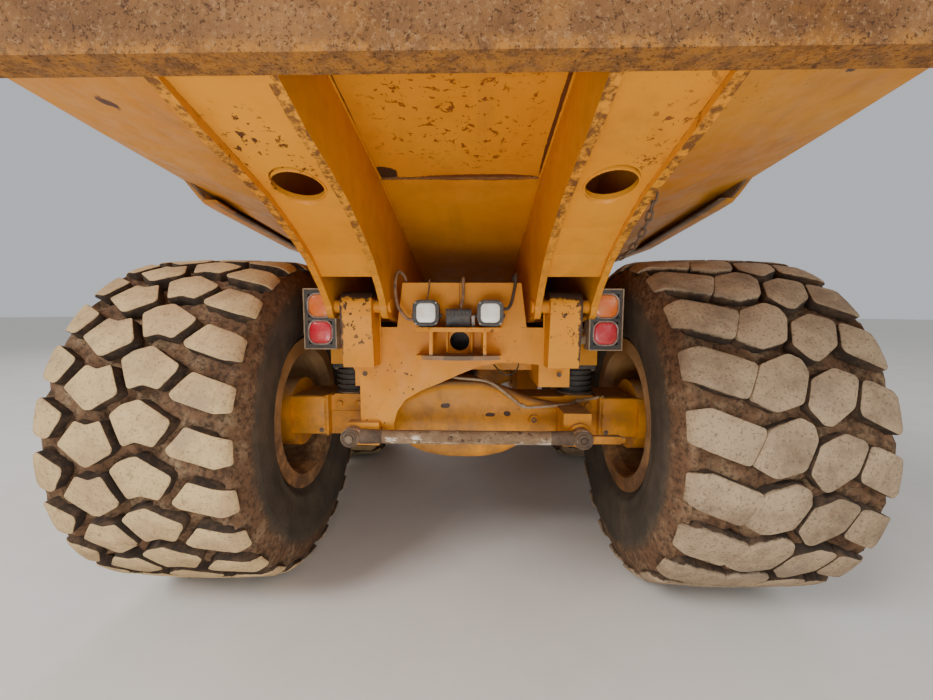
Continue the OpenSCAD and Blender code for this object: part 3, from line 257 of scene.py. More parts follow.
def slab(bm, outline, along, low, high, round_=0.003, segments=2):
    """A plate with the given outline in the two other axes."""
    put = {"x": lambda a, b, c: (c, a, b), "y": lambda a, b, c: (a, c, b), "z": lambda a, b, c: (a, b, c)}[along]
    foot = [bm.verts.new(put(a, b, low)) for a, b in outline]
    top = verts_in(bmesh.ops.extrude_face_region(bm, geom=[bm.faces.new(foot)])["geom"])
    bmesh.ops.translate(bm, vec=Vector(put(0, 0, high - low)), verts=top)
    soften(bm, edges_at(foot + top), round_, segments)


def corners(x0, x1, z0, z1):
    """Outline of a rectangle between two values on each axis."""
    return [(x0, z0), (x1, z0), (x1, z1), (x0, z1)]


def rounded(x, y, w, h, r, n=6):
    """Outline of a rectangle with round corners."""
    out = []
    for k, (sx, sy) in enumerate(((1, 1), (-1, 1), (-1, -1), (1, -1))):
        for a in (math.pi / 2 * (k + i / n) for i in range(n + 1)):
            out.append((x + sx * (w / 2 - r) + r * math.cos(a), y + sy * (h / 2 - r) + r * math.sin(a)))
    return out


def band(bm, a, b):
    """Faces between two closed rows of as many points."""
    for i in range(len(a)):
        j = (i + 1) % len(a)
        bm.faces.new((a[i], a[j], b[j], b[i]))


def rim(bm, outer, inner, low, high, round_=0.0015):
    """A frame between two outlines of as many points, that faces the rear."""
    loops = [[bm.verts.new((x, y, z)) for x, z in outline] for outline in (outer, inner) for y in (low, high)]
    for a, b in ((0, 1), (1, 3), (3, 2), (2, 0)):
        band(bm, loops[a], loops[b])
    edges = [e for e in edges_at(loops[1] + loops[3]) if e.verts[0].co.y == e.verts[1].co.y]
    soften(bm, [e for e in edges if (e.verts[0] in loops[1]) == (e.verts[1] in loops[1])], round_)


def lens(bm, x, z, w, h, r, low, high, bulge=0.006, rings=5):
    """A domed lens that faces the rear: rings that shrink towards its middle."""
    base = rounded(x, z, w, h, r)
    rows = [(1, low), (1, high)]
    for a in (math.pi / 2 * k / (rings + 1) for k in range(1, rings + 1)):
        rows.append((math.cos(a), high + bulge * math.sin(a)))
    loops = [[bm.verts.new((x + (px - x) * size, y, z + (pz - z) * size)) for px, pz in base] for size, y in rows]
    for a, b in zip(loops, loops[1:]):
        band(bm, a, b)
    for loop in (loops[0], loops[-1]):
        bm.faces.new(loop)


def both_sides(bm):
    """Mirrors all that the bmesh holds to the other side of the truck."""
    made = bmesh.ops.duplicate(bm, geom=bm.verts[:] + bm.edges[:] + bm.faces[:])["geom"]
    bmesh.ops.scale(bm, vec=(-1, 1, 1), verts=verts_in(made))
    bmesh.ops.reverse_faces(bm, faces=[g for g in made if isinstance(g, bmesh.types.BMFace)])


def piece(bm, name, look, body="rear_unit", replaces=(), sharp=38, slot=None):
    """Turns a bmesh into a named piece that rides on a body, with the finish of its look."""
    bmesh.ops.recalc_face_normals(bm, faces=bm.faces[:])
    mesh = bpy.data.meshes.new(name)
    bm.to_mesh(mesh)
    bm.free()
    mesh.shade_smooth()
    mesh.set_sharp_from_angle(angle=math.radians(sharp))
    obj = bpy.data.objects.new(name, mesh)
    bpy.context.scene.collection.objects.link(obj)
    mesh.materials.append(finish(look))
    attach(obj, body)
    slot or LOOKS[look][0]
    if replaces:
        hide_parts(*replaces)
    return obj


# Finishes

class Finish:
    """A node material that is built from a few plain steps. Its tone is coated step by step."""

    def __init__(self, name, colours):
        self.material = bpy.data.materials.new(name)
        self.material.use_nodes = True
        self.tree = self.material.node_tree
        self.shader = self.tree.nodes["Principled BSDF"]
        coords = self.tree.nodes.new("ShaderNodeTexCoord")
        self.place = coords.outputs["Object"]
        self.normal = coords.outputs["Normal"]
        for key in TruckFinishes.__annotations__:
            setattr(self, key, tuple(getattr(colours, key)))

    def put(self, socket, value):
        """Links or sets an input. A colour gets its fourth number."""
        if isinstance(value, bpy.types.NodeSocket):
            self.tree.links.new(value, socket)
        else:
            socket.default_value = (*value[:3], 1) if socket.type == "RGBA" else value

    def node(self, kind, values, **settings):
        made = self.tree.nodes.new(kind)
        for key, value in settings.items():
            setattr(made, key, value)
        for key, value in values.items():
            self.put(made.inputs[key], value)
        return made

    def noise(self, scale, detail=6, rough=0.6, stretch=None, warp=0):
        where = self.place
        if stretch:
            where = self.node("ShaderNodeMapping", {0: where, "Scale": stretch}).outputs[0]
        return self.node("ShaderNodeTexNoise", {"Vector": where, "Scale": scale, "Detail": detail,
                                                "Roughness": rough, "Distortion": warp}).outputs[0]

    def cells(self, scale):
        return self.node("ShaderNodeTexVoronoi", {"Vector": self.place, "Scale": scale}).outputs[0]

    def step(self, value, low, high, to_low=0, to_high=1):
        return self.node("ShaderNodeMapRange", {0: value, 1: low, 2: high, 3: to_low, 4: to_high},
                         interpolation_type="SMOOTHSTEP").outputs[0]

    def spots(self, scale, detail, rough, low, high, to_low=0, to_high=1, **how):
        """A step through noise."""
        return self.step(self.noise(scale, detail, rough, **how), low, high, to_low, to_high)

    def maths(self, operation, a, b=0, c=0, clamp=False):
        return self.node("ShaderNodeMath", {0: a, 1: b, 2: c}, operation=operation, use_clamp=clamp).outputs[0]

    def add(self, a, b, **how):
        return self.maths("ADD", a, b, **how)

    def less(self, a, b):
        return self.maths("SUBTRACT", a, b)

    def times(self, a, b, **how):
        return self.maths("MULTIPLY", a, b, **how)

    def most(self, a, b):
        return self.maths("MAXIMUM", a, b)

    def size(self, a):
        return self.maths("ABSOLUTE", a)

    def axis(self, vector, name):
        return self.node("ShaderNodeSeparateXYZ", {0: vector}).outputs[name]

    def blend(self, factor, a, b):
        return self.node("ShaderNodeMix", {0: factor, 6: a, 7: b}, data_type="RGBA").outputs[2]

    def coat(self, factor, colour):
        self.tone = self.blend(factor, self.tone, colour)

    def wear(self, scale, low, high, to_high=1):
        """A ragged step through the attribute that tells worn faces from grooves."""
        wear = self.node("ShaderNodeAttribute", {}, attribute_name="wear").outputs["Fac"]
        ragged = self.add(wear, self.times(self.less(self.noise(scale, 8, 0.7), 0.5), 0.75))
        return self.step(ragged, low, high, 0, to_high)

    def done(self, rough, bump=None, strength=0.3, distance=0.004, **fixed):
        self.put(self.shader.inputs["Base Color"], self.tone)
        self.put(self.shader.inputs["Roughness"], rough)
        for key, value in fixed.items():
            self.shader.inputs[key.replace("_", " ")].default_value = value
        if bump is not None:
            made = self.node("ShaderNodeBump", {"Strength": strength, "Distance": distance, "Height": bump})
            self.put(self.shader.inputs["Normal"], made.outputs[0])
        return self.material


def dots(f):
    """Round specks of different sizes, in loose groups."""
    small = f.times(f.step(f.cells(44), 0.24, 0.19), f.spots(21, 2, 0.5, 0.5, 0.53))
    uneven = f.add(f.cells(27), f.times(f.noise(80, 3), 0.3))
    return f.most(small, f.times(f.step(uneven, 0.345, 0.315), f.spots(13, 2, 0.5, 0.55, 0.58)))


def mark(f, centre, half, flecks=None):
    """1 inside a ragged patch around a place on the truck, or on flecks or dots there."""
    near = 0
    for name, c, h in zip("XYZ", centre, half):
        far = f.maths("DIVIDE", f.less(f.axis(f.place, name), c), h)
        near = f.add(near, f.maths("POWER", f.size(far), 2.6))
    rough = f.add(f.times(f.less(f.noise(11, 4, 0.6), 0.5), 2), f.times(f.less(f.noise(55, 6, 0.7), 0.5), 1.3))
    inside = f.step(f.add(near, rough), 1, 0.1 if flecks else 0.75)
    if flecks:
        inside = f.times(inside, dots(f) if flecks == "dots" else f.spots(34, 6, 0.66, 0.57, 0.6, warp=0.3))
    return inside


def painted(name, colours, rust, dirt, dust, low_mud=0, streaks=0, base=None, marks=(), webs=0, bed=False):
    """Worn machine paint: fading, grime, dust on top faces and rust specks; rusty web edges or a worn load space."""
    f = Finish(name, colours)
    paint, faded = f.paint, f.faded
    if base:
        paint, faded = base, tuple(0.6 * a + 0.4 * b for a, b in zip(base, (0.8, 0.6, 0.35)))
    f.tone = f.blend(f.spots(1.1, 5, 0.6, 0.35, 0.68), paint, faded)
    f.coat(f.times(f.spots(7, 9, 0.7, 0.45, 0.8), 0.35), tuple(c * 0.62 for c in paint))
    f.coat(f.times(f.spots(2.3, 10, 0.68, 0.48, 0.72, warp=0.4), dirt),
           tuple(0.5 * a + 0.25 * b for a, b in zip(f.mud, paint)))
    if streaks:
        f.coat(f.times(f.spots(9, 4, 0.6, 0.55, 0.75, stretch=(1, 0.12, 0.12)), streaks), f.mud)
    dusty = f.times(f.step(f.axis(f.normal, "Z"), 0.35, 0.9), f.spots(6, 8, 0.7, 0.25, 0.6, 0.35, 1))
    f.coat(f.times(dusty, dust), f.sand)
    if low_mud:
        splash = f.times(f.step(f.axis(f.place, "Z"), 1.25, 0.8), f.spots(9, 9, 0.75, 0.35, 0.62))
        f.coat(f.times(splash, low_mud), f.mud)
    spread = f.spots(1.7, 4, 0.6, 0.52, 0.68)
    specks = f.most(f.spots(46, 5, 0.62, 0.64, 0.67), f.times(dots(f), 0.45))
    specks = f.most(f.times(specks, spread), f.times(f.spots(8, 6, 0.6, 0.69, 0.72, warp=0.6), spread))
    flecks = f.times(specks, rust, clamp=True)
    if webs:
        # The lower edges of the webs are rusty, their faces are not
        beam_mid, web_off, web_half = 0.495, 0.13, 0.0165
        across = f.size(f.less(f.size(f.axis(f.place, "X")), beam_mid))
        edge = f.times(f.maths("COMPARE", across, web_off, web_half), f.step(f.size(f.axis(f.normal, "X")), 0.5, 0.2))
        tail = f.step(f.axis(f.place, "Y"), HINGE.y + 0.15, HINGE.y + 0.55, 0.25, 1)
        worn = f.times(f.spots(30, 8, 0.72, 0.42, 0.58), f.times(edge, tail))
        flecks = f.most(flecks, f.times(worn, webs))
    f.coat(flecks, f.rust)
    if bed:
        # Bare steel on faces that look into the load space, with paint left along the rail
        inward = f.times(f.axis(f.normal, "X"), f.axis(f.place, "X"))
        inner = f.most(f.step(inward, -0.02, -0.2), f.step(f.axis(f.normal, "Z"), 0.75, 0.9))
        inner = f.most(inner, f.step(f.axis(f.normal, "Y"), 0.4, 0.7))
        below = f.step(f.less(f.axis(f.place, "Z"), f.times(f.axis(f.place, "Y"), 0.06)), 2.9, 2.7)
        worn = f.times(inner, f.spots(2.6, 8, 0.7, 0.3, 0.45))
        worn = f.times(worn, f.most(below, f.spots(3.5, 8, 0.7, 0.5, 0.6)))
        grain = f.spots(6, 9, 0.72, 0.35, 0.65, stretch=(1, 0.25, 1))
        f.coat(worn, f.blend(grain, (0.12, 0.075, 0.045), (0.25, 0.175, 0.115)))
    for centre, half, shade, *kind in marks:
        f.coat(mark(f, centre, half, *kind), shade)
    rough = f.add(f.spots(12, 6, 0.6, 0.3, 0.7, 0.36, 0.56), f.times(f.most(flecks, dusty), 0.35), clamp=True)
    height = f.less(f.times(f.noise(60, 4), 0.25), f.times(flecks, 0.6))
    return f.done(rough, height, 0.35, 0.003, Specular_IOR_Level=0.25)


def rusty_steel(name, colours, yellow):
    """Bare steel under years of rust, pitted by stones, with the last of its paint."""
    f = Finish(name, colours)
    f.tone = f.blend(f.spots(5, 8, 0.7, 0.35, 0.65), (0.13, 0.058, 0.022), (0.235, 0.112, 0.042))
    low = f.step(f.axis(f.place, "Z"), 2.035, 2.004)
    f.coat(f.times(low, f.spots(24, 7, 0.7, 0.4, 0.6)), (0.36, 0.15, 0.03))
    f.coat(f.spots(110, 6, 0.7, 0.53, 0.64, 0, 0.55), (0.36, 0.205, 0.095))
    f.coat(f.spots(120, 5, 0.7, 0.54, 0.62, 0, 0.8, warp=0.4), (0.045, 0.022, 0.012))
    f.coat(f.times(f.spots(3.2, 8, 0.72, 0.52, 0.62), yellow), f.paint)
    bump = f.add(f.noise(64, 7, 0.72), f.times(f.noise(9, 5), 0.8))
    return f.done(f.spots(20, 6, 0.6, 0.3, 0.7, 0.66, 0.92), bump, 0.75, 0.006, Specular_IOR_Level=0.12)


def lug_rubber(name, colours, light, dark, speck):
    """Tread rubber: worn sandy faces, dark flanks and mud."""
    f = Finish(name, colours)
    f.tone = f.blend(f.spots(5, 7, 0.7, 0.35, 0.7), light, dark)
    f.coat(f.spots(85, 4, 0.7, 0.52, 0.66, 0, speck), (0.13, 0.095, 0.06))
    f.coat(f.spots(3.1, 5, 0.6, 0.56, 0.7, 0, 0.45), (0.22, 0.165, 0.12))
    f.coat(f.spots(14, 9, 0.75, 0.58, 0.68, 0, 0.6), (0.2, 0.115, 0.066))
    groove = f.blend(f.spots(16, 8, 0.7, 0.42, 0.66), (0.04, 0.028, 0.02), (0.105, 0.062, 0.036))
    f.tone = f.blend(f.wear(26, 0.66, 0.9), groove, f.tone)
    return f.done(0.93, f.add(f.noise(95, 7, 0.7), f.noise(20, 5, 0.6)), 0.5, 0.004, Specular_IOR_Level=0.2)


def casing_rubber(name, colours):
    """Sidewall and groove floor: dry clay near the tread, smooth dark rubber towards the rim."""
    f = Finish(name, colours)
    f.tone = f.blend(f.spots(9, 9, 0.72, 0.45, 0.72, 0, 0.75), f.mud, f.sand)
    f.coat(f.spots(38, 6, 0.7, 0.45, 0.62, 0, 0.8), (0.05, 0.03, 0.018))
    smooth = f.blend(f.spots(3, 7, 0.7, 0.38, 0.72), (0.06, 0.047, 0.034), (0.115, 0.085, 0.055))
    f.tone = f.blend(f.wear(9, 0.35, 0.75), smooth, f.tone)
    return f.done(0.9, f.noise(34, 9, 0.75), 0.6, 0.008, Specular_IOR_Level=0.22)


def plain(name, colours, colour, rough, second, scale=12, metal=0, dust=0, bump=0.15, fine=60, **fixed):
    """A simple finish with broken colour, a little dust and a fine grain."""
    f = Finish(name, colours)
    if colour == "black":
        colour = f.black
    f.tone = f.blend(f.spots(scale, 8, 0.68, 0.35, 0.7), colour, second)
    if dust:
        up = f.step(f.axis(f.normal, "Z"), -0.2, 0.9, 0.25, 1)
        f.coat(f.times(up, f.spots(7, 9, 0.72, 0.35, 0.7, 0, dust)), f.sand)
    gloss = f.spots(scale * 1.7, 5, 0.6, 0.3, 0.7, rough * 0.85, min(1, rough * 1.2))
    return f.done(gloss, f.noise(fine, 5), bump, 0.003, Metallic=metal, **fixed)


def rod_dirt(name, colours):
    """Steel rod under pale dried mud, scraped to dark rust in places."""
    f = Finish(name, colours)
    f.tone = f.blend(f.spots(7, 8, 0.72, 0.38, 0.6, stretch=(0.5, 1, 1)), (0.4, 0.27, 0.15), (0.2, 0.12, 0.065))
    f.coat(f.spots(11, 8, 0.72, 0.55, 0.62, 0, 0.9, stretch=(0.35, 1, 1)), (0.7, 0.6, 0.46))
    f.coat(f.spots(30, 7, 0.7, 0.56, 0.62, 0, 0.9), (0.055, 0.032, 0.02))
    return f.done(0.85, f.add(f.noise(40, 8, 0.75), f.noise(12, 5, 0.6)), 0.7, 0.006, Specular_IOR_Level=0.2)


def lens_glass(name, colours, colour, rough, faded):
    """Clouded lamp glass."""
    f = Finish(name, colours)
    f.tone = f.blend(f.spots(18, 6, 0.7, 0.4, 0.72), colour, faded)
    return f.done(f.spots(30, 6, 0.6, 0.3, 0.75, rough, rough + 0.25), f.noise(110, 2), 0.1, 0.001,
                  Transmission_Weight=0, IOR=1.5, Coat_Weight=0.2, Coat_Roughness=0.12)


def window_glass(name, colours):
    """Dusty clear glass."""
    f = Finish(name, colours)
    f.tone = f.blend(f.spots(4, 8, 0.7, 0.45, 0.8), (0.62, 0.66, 0.66), (0.5, 0.46, 0.4))
    return f.done(f.spots(6, 7, 0.7, 0.4, 0.75, 0.05, 0.35), Transmission_Weight=0.92, IOR=1.45)


# Rusty and scraped places: centre, half size, colour, and whether only flecks or dots show there
RED_RUST, SCRAPE, STAIN = (0.105, 0.034, 0.012), (0.06, 0.03, 0.016), (0.36, 0.115, 0.012)
BODY_MARKS = (
    ((0, WELD_Y, 2.1), (0.355, 0.012, 0.2), RED_RUST),
    ((-0.1, WELD_Y + 0.004, 2.1), (0.28, 0.026, 0.2), (0.16, 0.045, 0.014)),
    ((0.315, WELD_Y + 0.045, 2.11), (0.05, 0.055, 0.2), SCRAPE),
    ((-0.342, AXLE_3 + 1.1, 2.17), (0.014, 0.52, 0.3), RED_RUST),
    ((0.345, AXLE_3 + 1.25, 2.2), (0.006, 0.34, 0.3), SCRAPE),
    ((1.25, AXLE_3 + 0.93, 2.26), (0.055, 0.06, 0.3), RED_RUST, "flecks"),
    ((1.26, AXLE_3 + 0.94, 2.26), (0.035, 0.025, 0.3), RED_RUST),
    ((0.86, AXLE_3 + 0.8, 2.22), (0.04, 0.05, 0.3), RED_RUST, "flecks"),
    ((-1.15, AXLE_3 + 1.22, 2.26), (0.12, 0.05, 0.3), RED_RUST, "flecks"),
    ((-1.27, AXLE_3 + 1.1, 2.28), (0.03, 0.07, 0.3), SCRAPE),
    ((-0.86, AXLE_3 + 0.45, 2.1), (0.1, 0.16, 0.3), STAIN),
    ((0, AXLE_3 + 1.05, 2.13), (0.34, 0.42, 0.3), (0.21, 0.06, 0.014), "flecks"),
)
BEAM_MARKS = (
    ((0.52, AXLE_3 + 1.26, 1.95), (0.13, 0.22, 0.4), RED_RUST, "flecks"),
    ((0.55, AXLE_3 + 1.36, 1.95), (0.07, 0.09, 0.4), (0.085, 0.03, 0.014), "flecks"),
    ((-0.56, AXLE_3 + 1.32, 1.95), (0.09, 0.16, 0.4), (0.21, 0.07, 0.02), "flecks"),
)
FRAME_MARKS = (
    ((0.34, PLATE, 1.15), (0.2, 0.06, 0.13), SCRAPE, "dots"),
    ((0.43, PLATE, 0.93), (0.12, 0.06, 0.13), SCRAPE, "dots"),
    ((0.62, PLATE + 0.12, 1.47), (0.068, 0.2, 0.22), SCRAPE),
    ((-0.62, PLATE + 0.12, 1.45), (0.07, 0.2, 0.24), SCRAPE),
    ((0.5, PLATE + 0.1, 1.64), (0.16, 0.12, 0.068), SCRAPE),
    ((-0.5, PLATE + 0.1, 1.64), (0.16, 0.12, 0.068), SCRAPE),
    ((0.5, PLATE + 0.15, 1.5), (0.12, 0.12, 0.2), SCRAPE, "flecks"),
    ((-0.5, PLATE + 0.15, 1.5), (0.12, 0.12, 0.2), SCRAPE, "flecks"),
    ((0.01, PLATE + 0.12, 1.3), (0.215, 0.1, 0.024), (0.27, 0.155, 0.075)),
    ((0.005, PLATE + 0.15, 1.3), (0.08, 0.07, 0.024), (0.15, 0.095, 0.055)),
    ((0.01, PLATE + 0.14, 1.435), (0.22, 0.03, 0.02), SCRAPE, "flecks"),
)
AXLE_MARKS = (
    ((0.096, AXLE_3 + 0.2, 0.995), (0.026, 0.06, 0.014), SCRAPE),
    ((-0.156, AXLE_3 + 0.2, 0.945), (0.03, 0.06, 0.012), SCRAPE),
    ((-0.25, AXLE_3 + 0.2, 0.952), (0.02, 0.06, 0.016), SCRAPE),
)

# Slot and maker of each look, then the maker's values
LOOKS = {
    "body_paint": ("paint", painted, 0.75, 0.3, 0.5, 0, 0.15, None, BODY_MARKS, 0, True),
    "beam_paint": ("paint", painted, 0.75, 0.35, 0.5, 0, 0, None, BEAM_MARKS, 0.9),
    "frame_paint": ("paint", painted, 0.9, 0.35, 0.6, 0.2, 0, None, FRAME_MARKS),
    "axle_paint": ("paint", painted, 0.6, 0.75, 0.9, 0.5, 0, None, AXLE_MARKS),
    "rim_paint": ("paint", painted, 0.85, 1, 0.3, 1, 0.6, (0.37, 0.165, 0.045)),
    "front_paint": ("paint", painted, 0.25, 0.3, 0.45, 0, 0.1),
    "pale_pipe": ("paint", plain, (0.42, 0.31, 0.19), 0.7, (0.25, 0.16, 0.09), 25),
    "seam": ("paint", plain, (0.085, 0.022, 0.012), 0.8, (0.05, 0.02, 0.012)),
    "rusty": ("rusty_lip", rusty_steel, 0.12),
    "weld": ("rusty_lip", rusty_steel, 0.45),
    "lugs": ("tyre", lug_rubber, (0.58, 0.405, 0.2), (0.4, 0.262, 0.135), 0.55),
    "lugs_brown": ("tyre", lug_rubber, (0.4, 0.285, 0.17), (0.205, 0.14, 0.088), 0.8),
    "casing": ("tyre", casing_rubber),
    "black_rubber": ("rubber", plain, (0.018, 0.017, 0.016), 0.7, (0.05, 0.042, 0.034), 9, 0, 0.45, 0.3),
    "cable": ("rubber", plain, (0.3, 0.17, 0.09), 0.75, (0.09, 0.06, 0.045), 30, 0, 0.5),
    "black_steel": ("dark_metal", plain, "black", 0.5, (0.06, 0.05, 0.042), 12, 0, 0.5),
    "rod_dirt": ("steel", rod_dirt),
    "dark_rust": ("steel", plain, (0.115, 0.07, 0.042), 0.8, (0.045, 0.028, 0.02), 26, 0.2, 0.7, 0.7, 40),
    "dirty_steel": ("steel", plain, (0.2, 0.145, 0.095), 0.72, (0.085, 0.052, 0.032), 18, 0.35, 0.6, 0.5, 45),
    "bare_steel": ("steel", plain, (0.32, 0.29, 0.25), 0.42, (0.15, 0.1, 0.065), 16, 0.85, 0.5, 0.3),
    "rod_chrome": ("steel", plain, (0.62, 0.62, 0.6), 0.14, (0.5, 0.5, 0.49), 22, 1, 0, 0.05),
    "plastic": ("black_plastic", plain, (0.028, 0.027, 0.026), 0.5, (0.07, 0.056, 0.044), 26, 0, 0.35),
    "glass_black": ("black_plastic", plain, (0.01, 0.012, 0.014), 0.12, (0.02, 0.022, 0.024), 9, 0, 0, 0.02),
    "clear_ring": ("lamp_clear", plain, (0.34, 0.25, 0.2), 0.25, (0.16, 0.1, 0.07), 30, 0, 0, 0.05),
    "lamp_glass": ("lamp_clear", lens_glass, (0.9, 0.88, 0.8), 0.16, (0.78, 0.72, 0.58)),
    "head_glass": ("lamp_clear", lens_glass, (0.78, 0.8, 0.8), 0.08, (0.585, 0.6, 0.6)),
    "red_lens": ("lamp_lens", lens_glass, (0.6, 0.018, 0.035), 0.2, (0.66, 0.1, 0.09)),
    "amber_lens": ("lamp_lens", lens_glass, (0.78, 0.15, 0.012), 0.2, (0.74, 0.26, 0.08)),
    "mirror": ("glass", plain, (0.8, 0.82, 0.83), 0.06, (0.7, 0.71, 0.7), 7, 1, 0, 0.01),
    "window": ("glass", window_glass),
    "cushion": ("seat", plain, (0.035, 0.036, 0.04), 0.85, (0.06, 0.058, 0.056), 40, 0, 0, 0.5, 300),
    "floor": (None, plain, (0.74, 0.7, 0.64), 0.9, (0.7, 0.66, 0.6), 1.5, 0, 0, 0.1, 8),
}
FIXED = {"cushion": {"Sheen_Weight": 0.3}}
MADE = {}


def finish(name):
    """The named finish, made the first time it is asked for."""
    if name not in MADE:
        _, maker, *values = LOOKS[name]
        MADE[name] = maker(name, bpy.context.scene.truck_finishes, *values, **FIXED.get(name, {}))
    return MADE[name]


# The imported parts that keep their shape, by the finish they get
KEPT = {
    "frame_paint": "rear_frame bogie_beams hitch front_frame",
    "axle_paint": "drive_axles front_axle",
    "body_paint": "body_tub",
    "beam_paint": "body_beams",
    "rusty": "tail_lip",
    "front_paint": "hoist_barrel_left hoist_barrel_right steer_barrel_left steer_barrel_right hood handrails"
                   " cab_shell cab_door",
    "rim_paint": " ".join("rim_" + name for name in WHEEL),
    "rod_dirt": "axle_rods",
    "rod_chrome": "hoist_rod_left hoist_rod_right steer_rod_left steer_rod_right",
    "dirty_steel": "prop_shafts engine_block",
    "bare_steel": "exhaust_stack",
    "black_steel": "front_bumper deck_beams fenders cab_deck boarding_steps fuel_tank grille",
    "black_rubber": "bogie_springs",
    "plastic": "tail_lamps dashboard",
    "window": "cab_glass door_glass",
}


def dress():
    for look, nodes in KEPT.items():
        for node in nodes.split():
            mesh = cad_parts[node].data
            mesh.materials.clear()
            mesh.materials.append(finish(look))


# Name, place, aim, width and power of each soft light
LIGHTS = (
    ("key", (7.5, 12, 9), (0, 3, 1.2), 4, 1350),
    ("fill", (-6, 11, 4), (0, 4, 1.4), 6, 240),
    ("under", (0.3, 7.4, 0.25), (0, 3.9, 1.9), 1.6, 70),
    ("front", (5, -13, 8), (0, -3, 1.5), 7, 900),
)


def stage(context):
    bm = bmesh.new()
    bmesh.ops.create_grid(bm, x_segments=2, y_segments=2, size=120)
    mesh = bpy.data.meshes.new("floor")
    bm.to_mesh(mesh)
    bm.free()
    mesh.materials.append(finish("floor"))
    floor = bpy.data.objects.new("floor", mesh)
    context.scene.collection.objects.link(floor)

    world = bpy.data.worlds.new("studio")
    world.use_nodes = True
    back = world.node_tree.nodes["Background"]
    back.inputs["Color"].default_value = (0.86, 0.9, 0.96, 1)
    back.inputs["Strength"].default_value = 0.62
    context.scene.world = world
    for name, place, aim, size, power in LIGHTS:
        light = bpy.data.lights.new(name, "AREA")
        light.size = size
        light.energy = power
        lamp = bpy.data.objects.new(name, light)
        lamp.location = place
        lamp.rotation_euler = (Vector(aim) - Vector(place)).to_track_quat("-Z", "Y").to_euler()
        context.scene.collection.objects.link(lamp)

    v = context.scene.truck_view
    shot = bpy.data.cameras.new("view")
    shot.sensor_width = 36
    shot.sensor_fit = "HORIZONTAL"
    shot.lens = v.lens
    shot.clip_end = 400
    camera = bpy.data.objects.new("view", shot)
    # The picture's right is the truck's -X, so the view turns half round about Z first
    turn = (Matrix.Rotation(math.pi - v.yaw, 4, "Z") @ Matrix.Rotation(math.pi / 2 + v.pitch, 4, "X")
            @ Matrix.Rotation(v.roll, 4, "Z"))
    camera.matrix_world = Matrix.Translation(v.place) @ turn
    context.scene.collection.objects.link(camera)
    context.scene.camera = camera


# Pitches of each side's tread, and the blocks of one pitch drawn flat: (across, outwards; angle in degrees)
TREADS = {
    1: (25, (
        ((0.062, 12.4), (0.018, 15), (-0.054, 16.4), (-0.19, 11), (-0.182, 9), (-0.124, 4.2), (-0.056, 5.5),
         (0.002, 4.3)),
        ((0.277, 4.7), (0.205, 10.9), (0.152, 9.7), (0.097, 10.9), (0.04, 3.8), (0.047, 2.6), (0.145, -1.1),
         (0.171, -1)),
        ((0.435, 8.4), (0.435, 15.4), (0.37, 17), (0.262, 12.8), (0.267, 11.2), (0.315, 6.2), (0.335, 6)),
        ((-0.168, 3.5), (-0.248, 9.5), (-0.33, 7.6), (-0.435, 5.6), (-0.435, -1.4), (-0.357, -1.7), (-0.188, 1.8)),
    )),
    -1: (22, (
        ((-0.19, 1.2), (-0.128, 10.2), (-0.008, 13.2), (0.041, 11.4), (0.053, 7.8), (0.008, 0.2), (-0.088, -1.9),
         (-0.112, -1.7)),
        ((0.026, -0.6), (0.06, 6.4), (0.158, 9.5), (0.236, 7.6), (0.248, 6.2), (0.209, -0.8), (0.111, -5.5),
         (0.082, -5.2)),
        ((0.222, -1), (0.256, 6.1), (0.282, 6.2), (0.435, 1.9), (0.435, -5.6), (0.372, -7.6), (0.225, -2.8)),
        ((-0.435, 6.6), (-0.435, 14.6), (-0.34, 15.4), (-0.14, 10.4), (-0.139, 9), (-0.194, 1.4), (-0.212, 1.2)),
    )),
}
TREAD_HALF = 0.345
CROWN_DROP = 0.012
# Sidewall from the bead to the shoulder: (radius, half width)
SIDEWALL = ((0.3695, 0.3), (0.3695, 0.3685), (0.452, 0.3685), (0.466, 0.372), (0.478, 0.392), (0.5, 0.41),
            (0.512, 0.414), (0.52, 0.411), (0.56, 0.424), (0.6, 0.432), (0.64, 0.4362), (0.69, 0.4362),
            (0.704, 0.4372), (0.716, 0.4335), (0.74, 0.431), (0.775, 0.423), (0.8, 0.416), (0.822, 0.408),
            (0.842, 0.398), (0.853, 0.382))


def side_of(name):
    return 1 if name.endswith("left") else -1


def on_tread(s, angle, h, wheel, side):
    """Point of a flat tread drawing, wrapped over the crown and shoulder of a tyre."""
    bend = bpy.context.scene.truck_tyres.shoulder
    over = max(0, abs(s) - TREAD_HALF) / bend
    across = min(abs(s), TREAD_HALF)
    radius = TYRE_R - CROWN_DROP * (across / TREAD_HALF) ** 2 + (bend + h) * math.cos(over) - bend
    across = math.copysign(across + (bend + h) * math.sin(over), s)
    return Vector((wheel.x + side * across, wheel.y + radius * math.cos(angle), wheel.z + radius * math.sin(angle)))


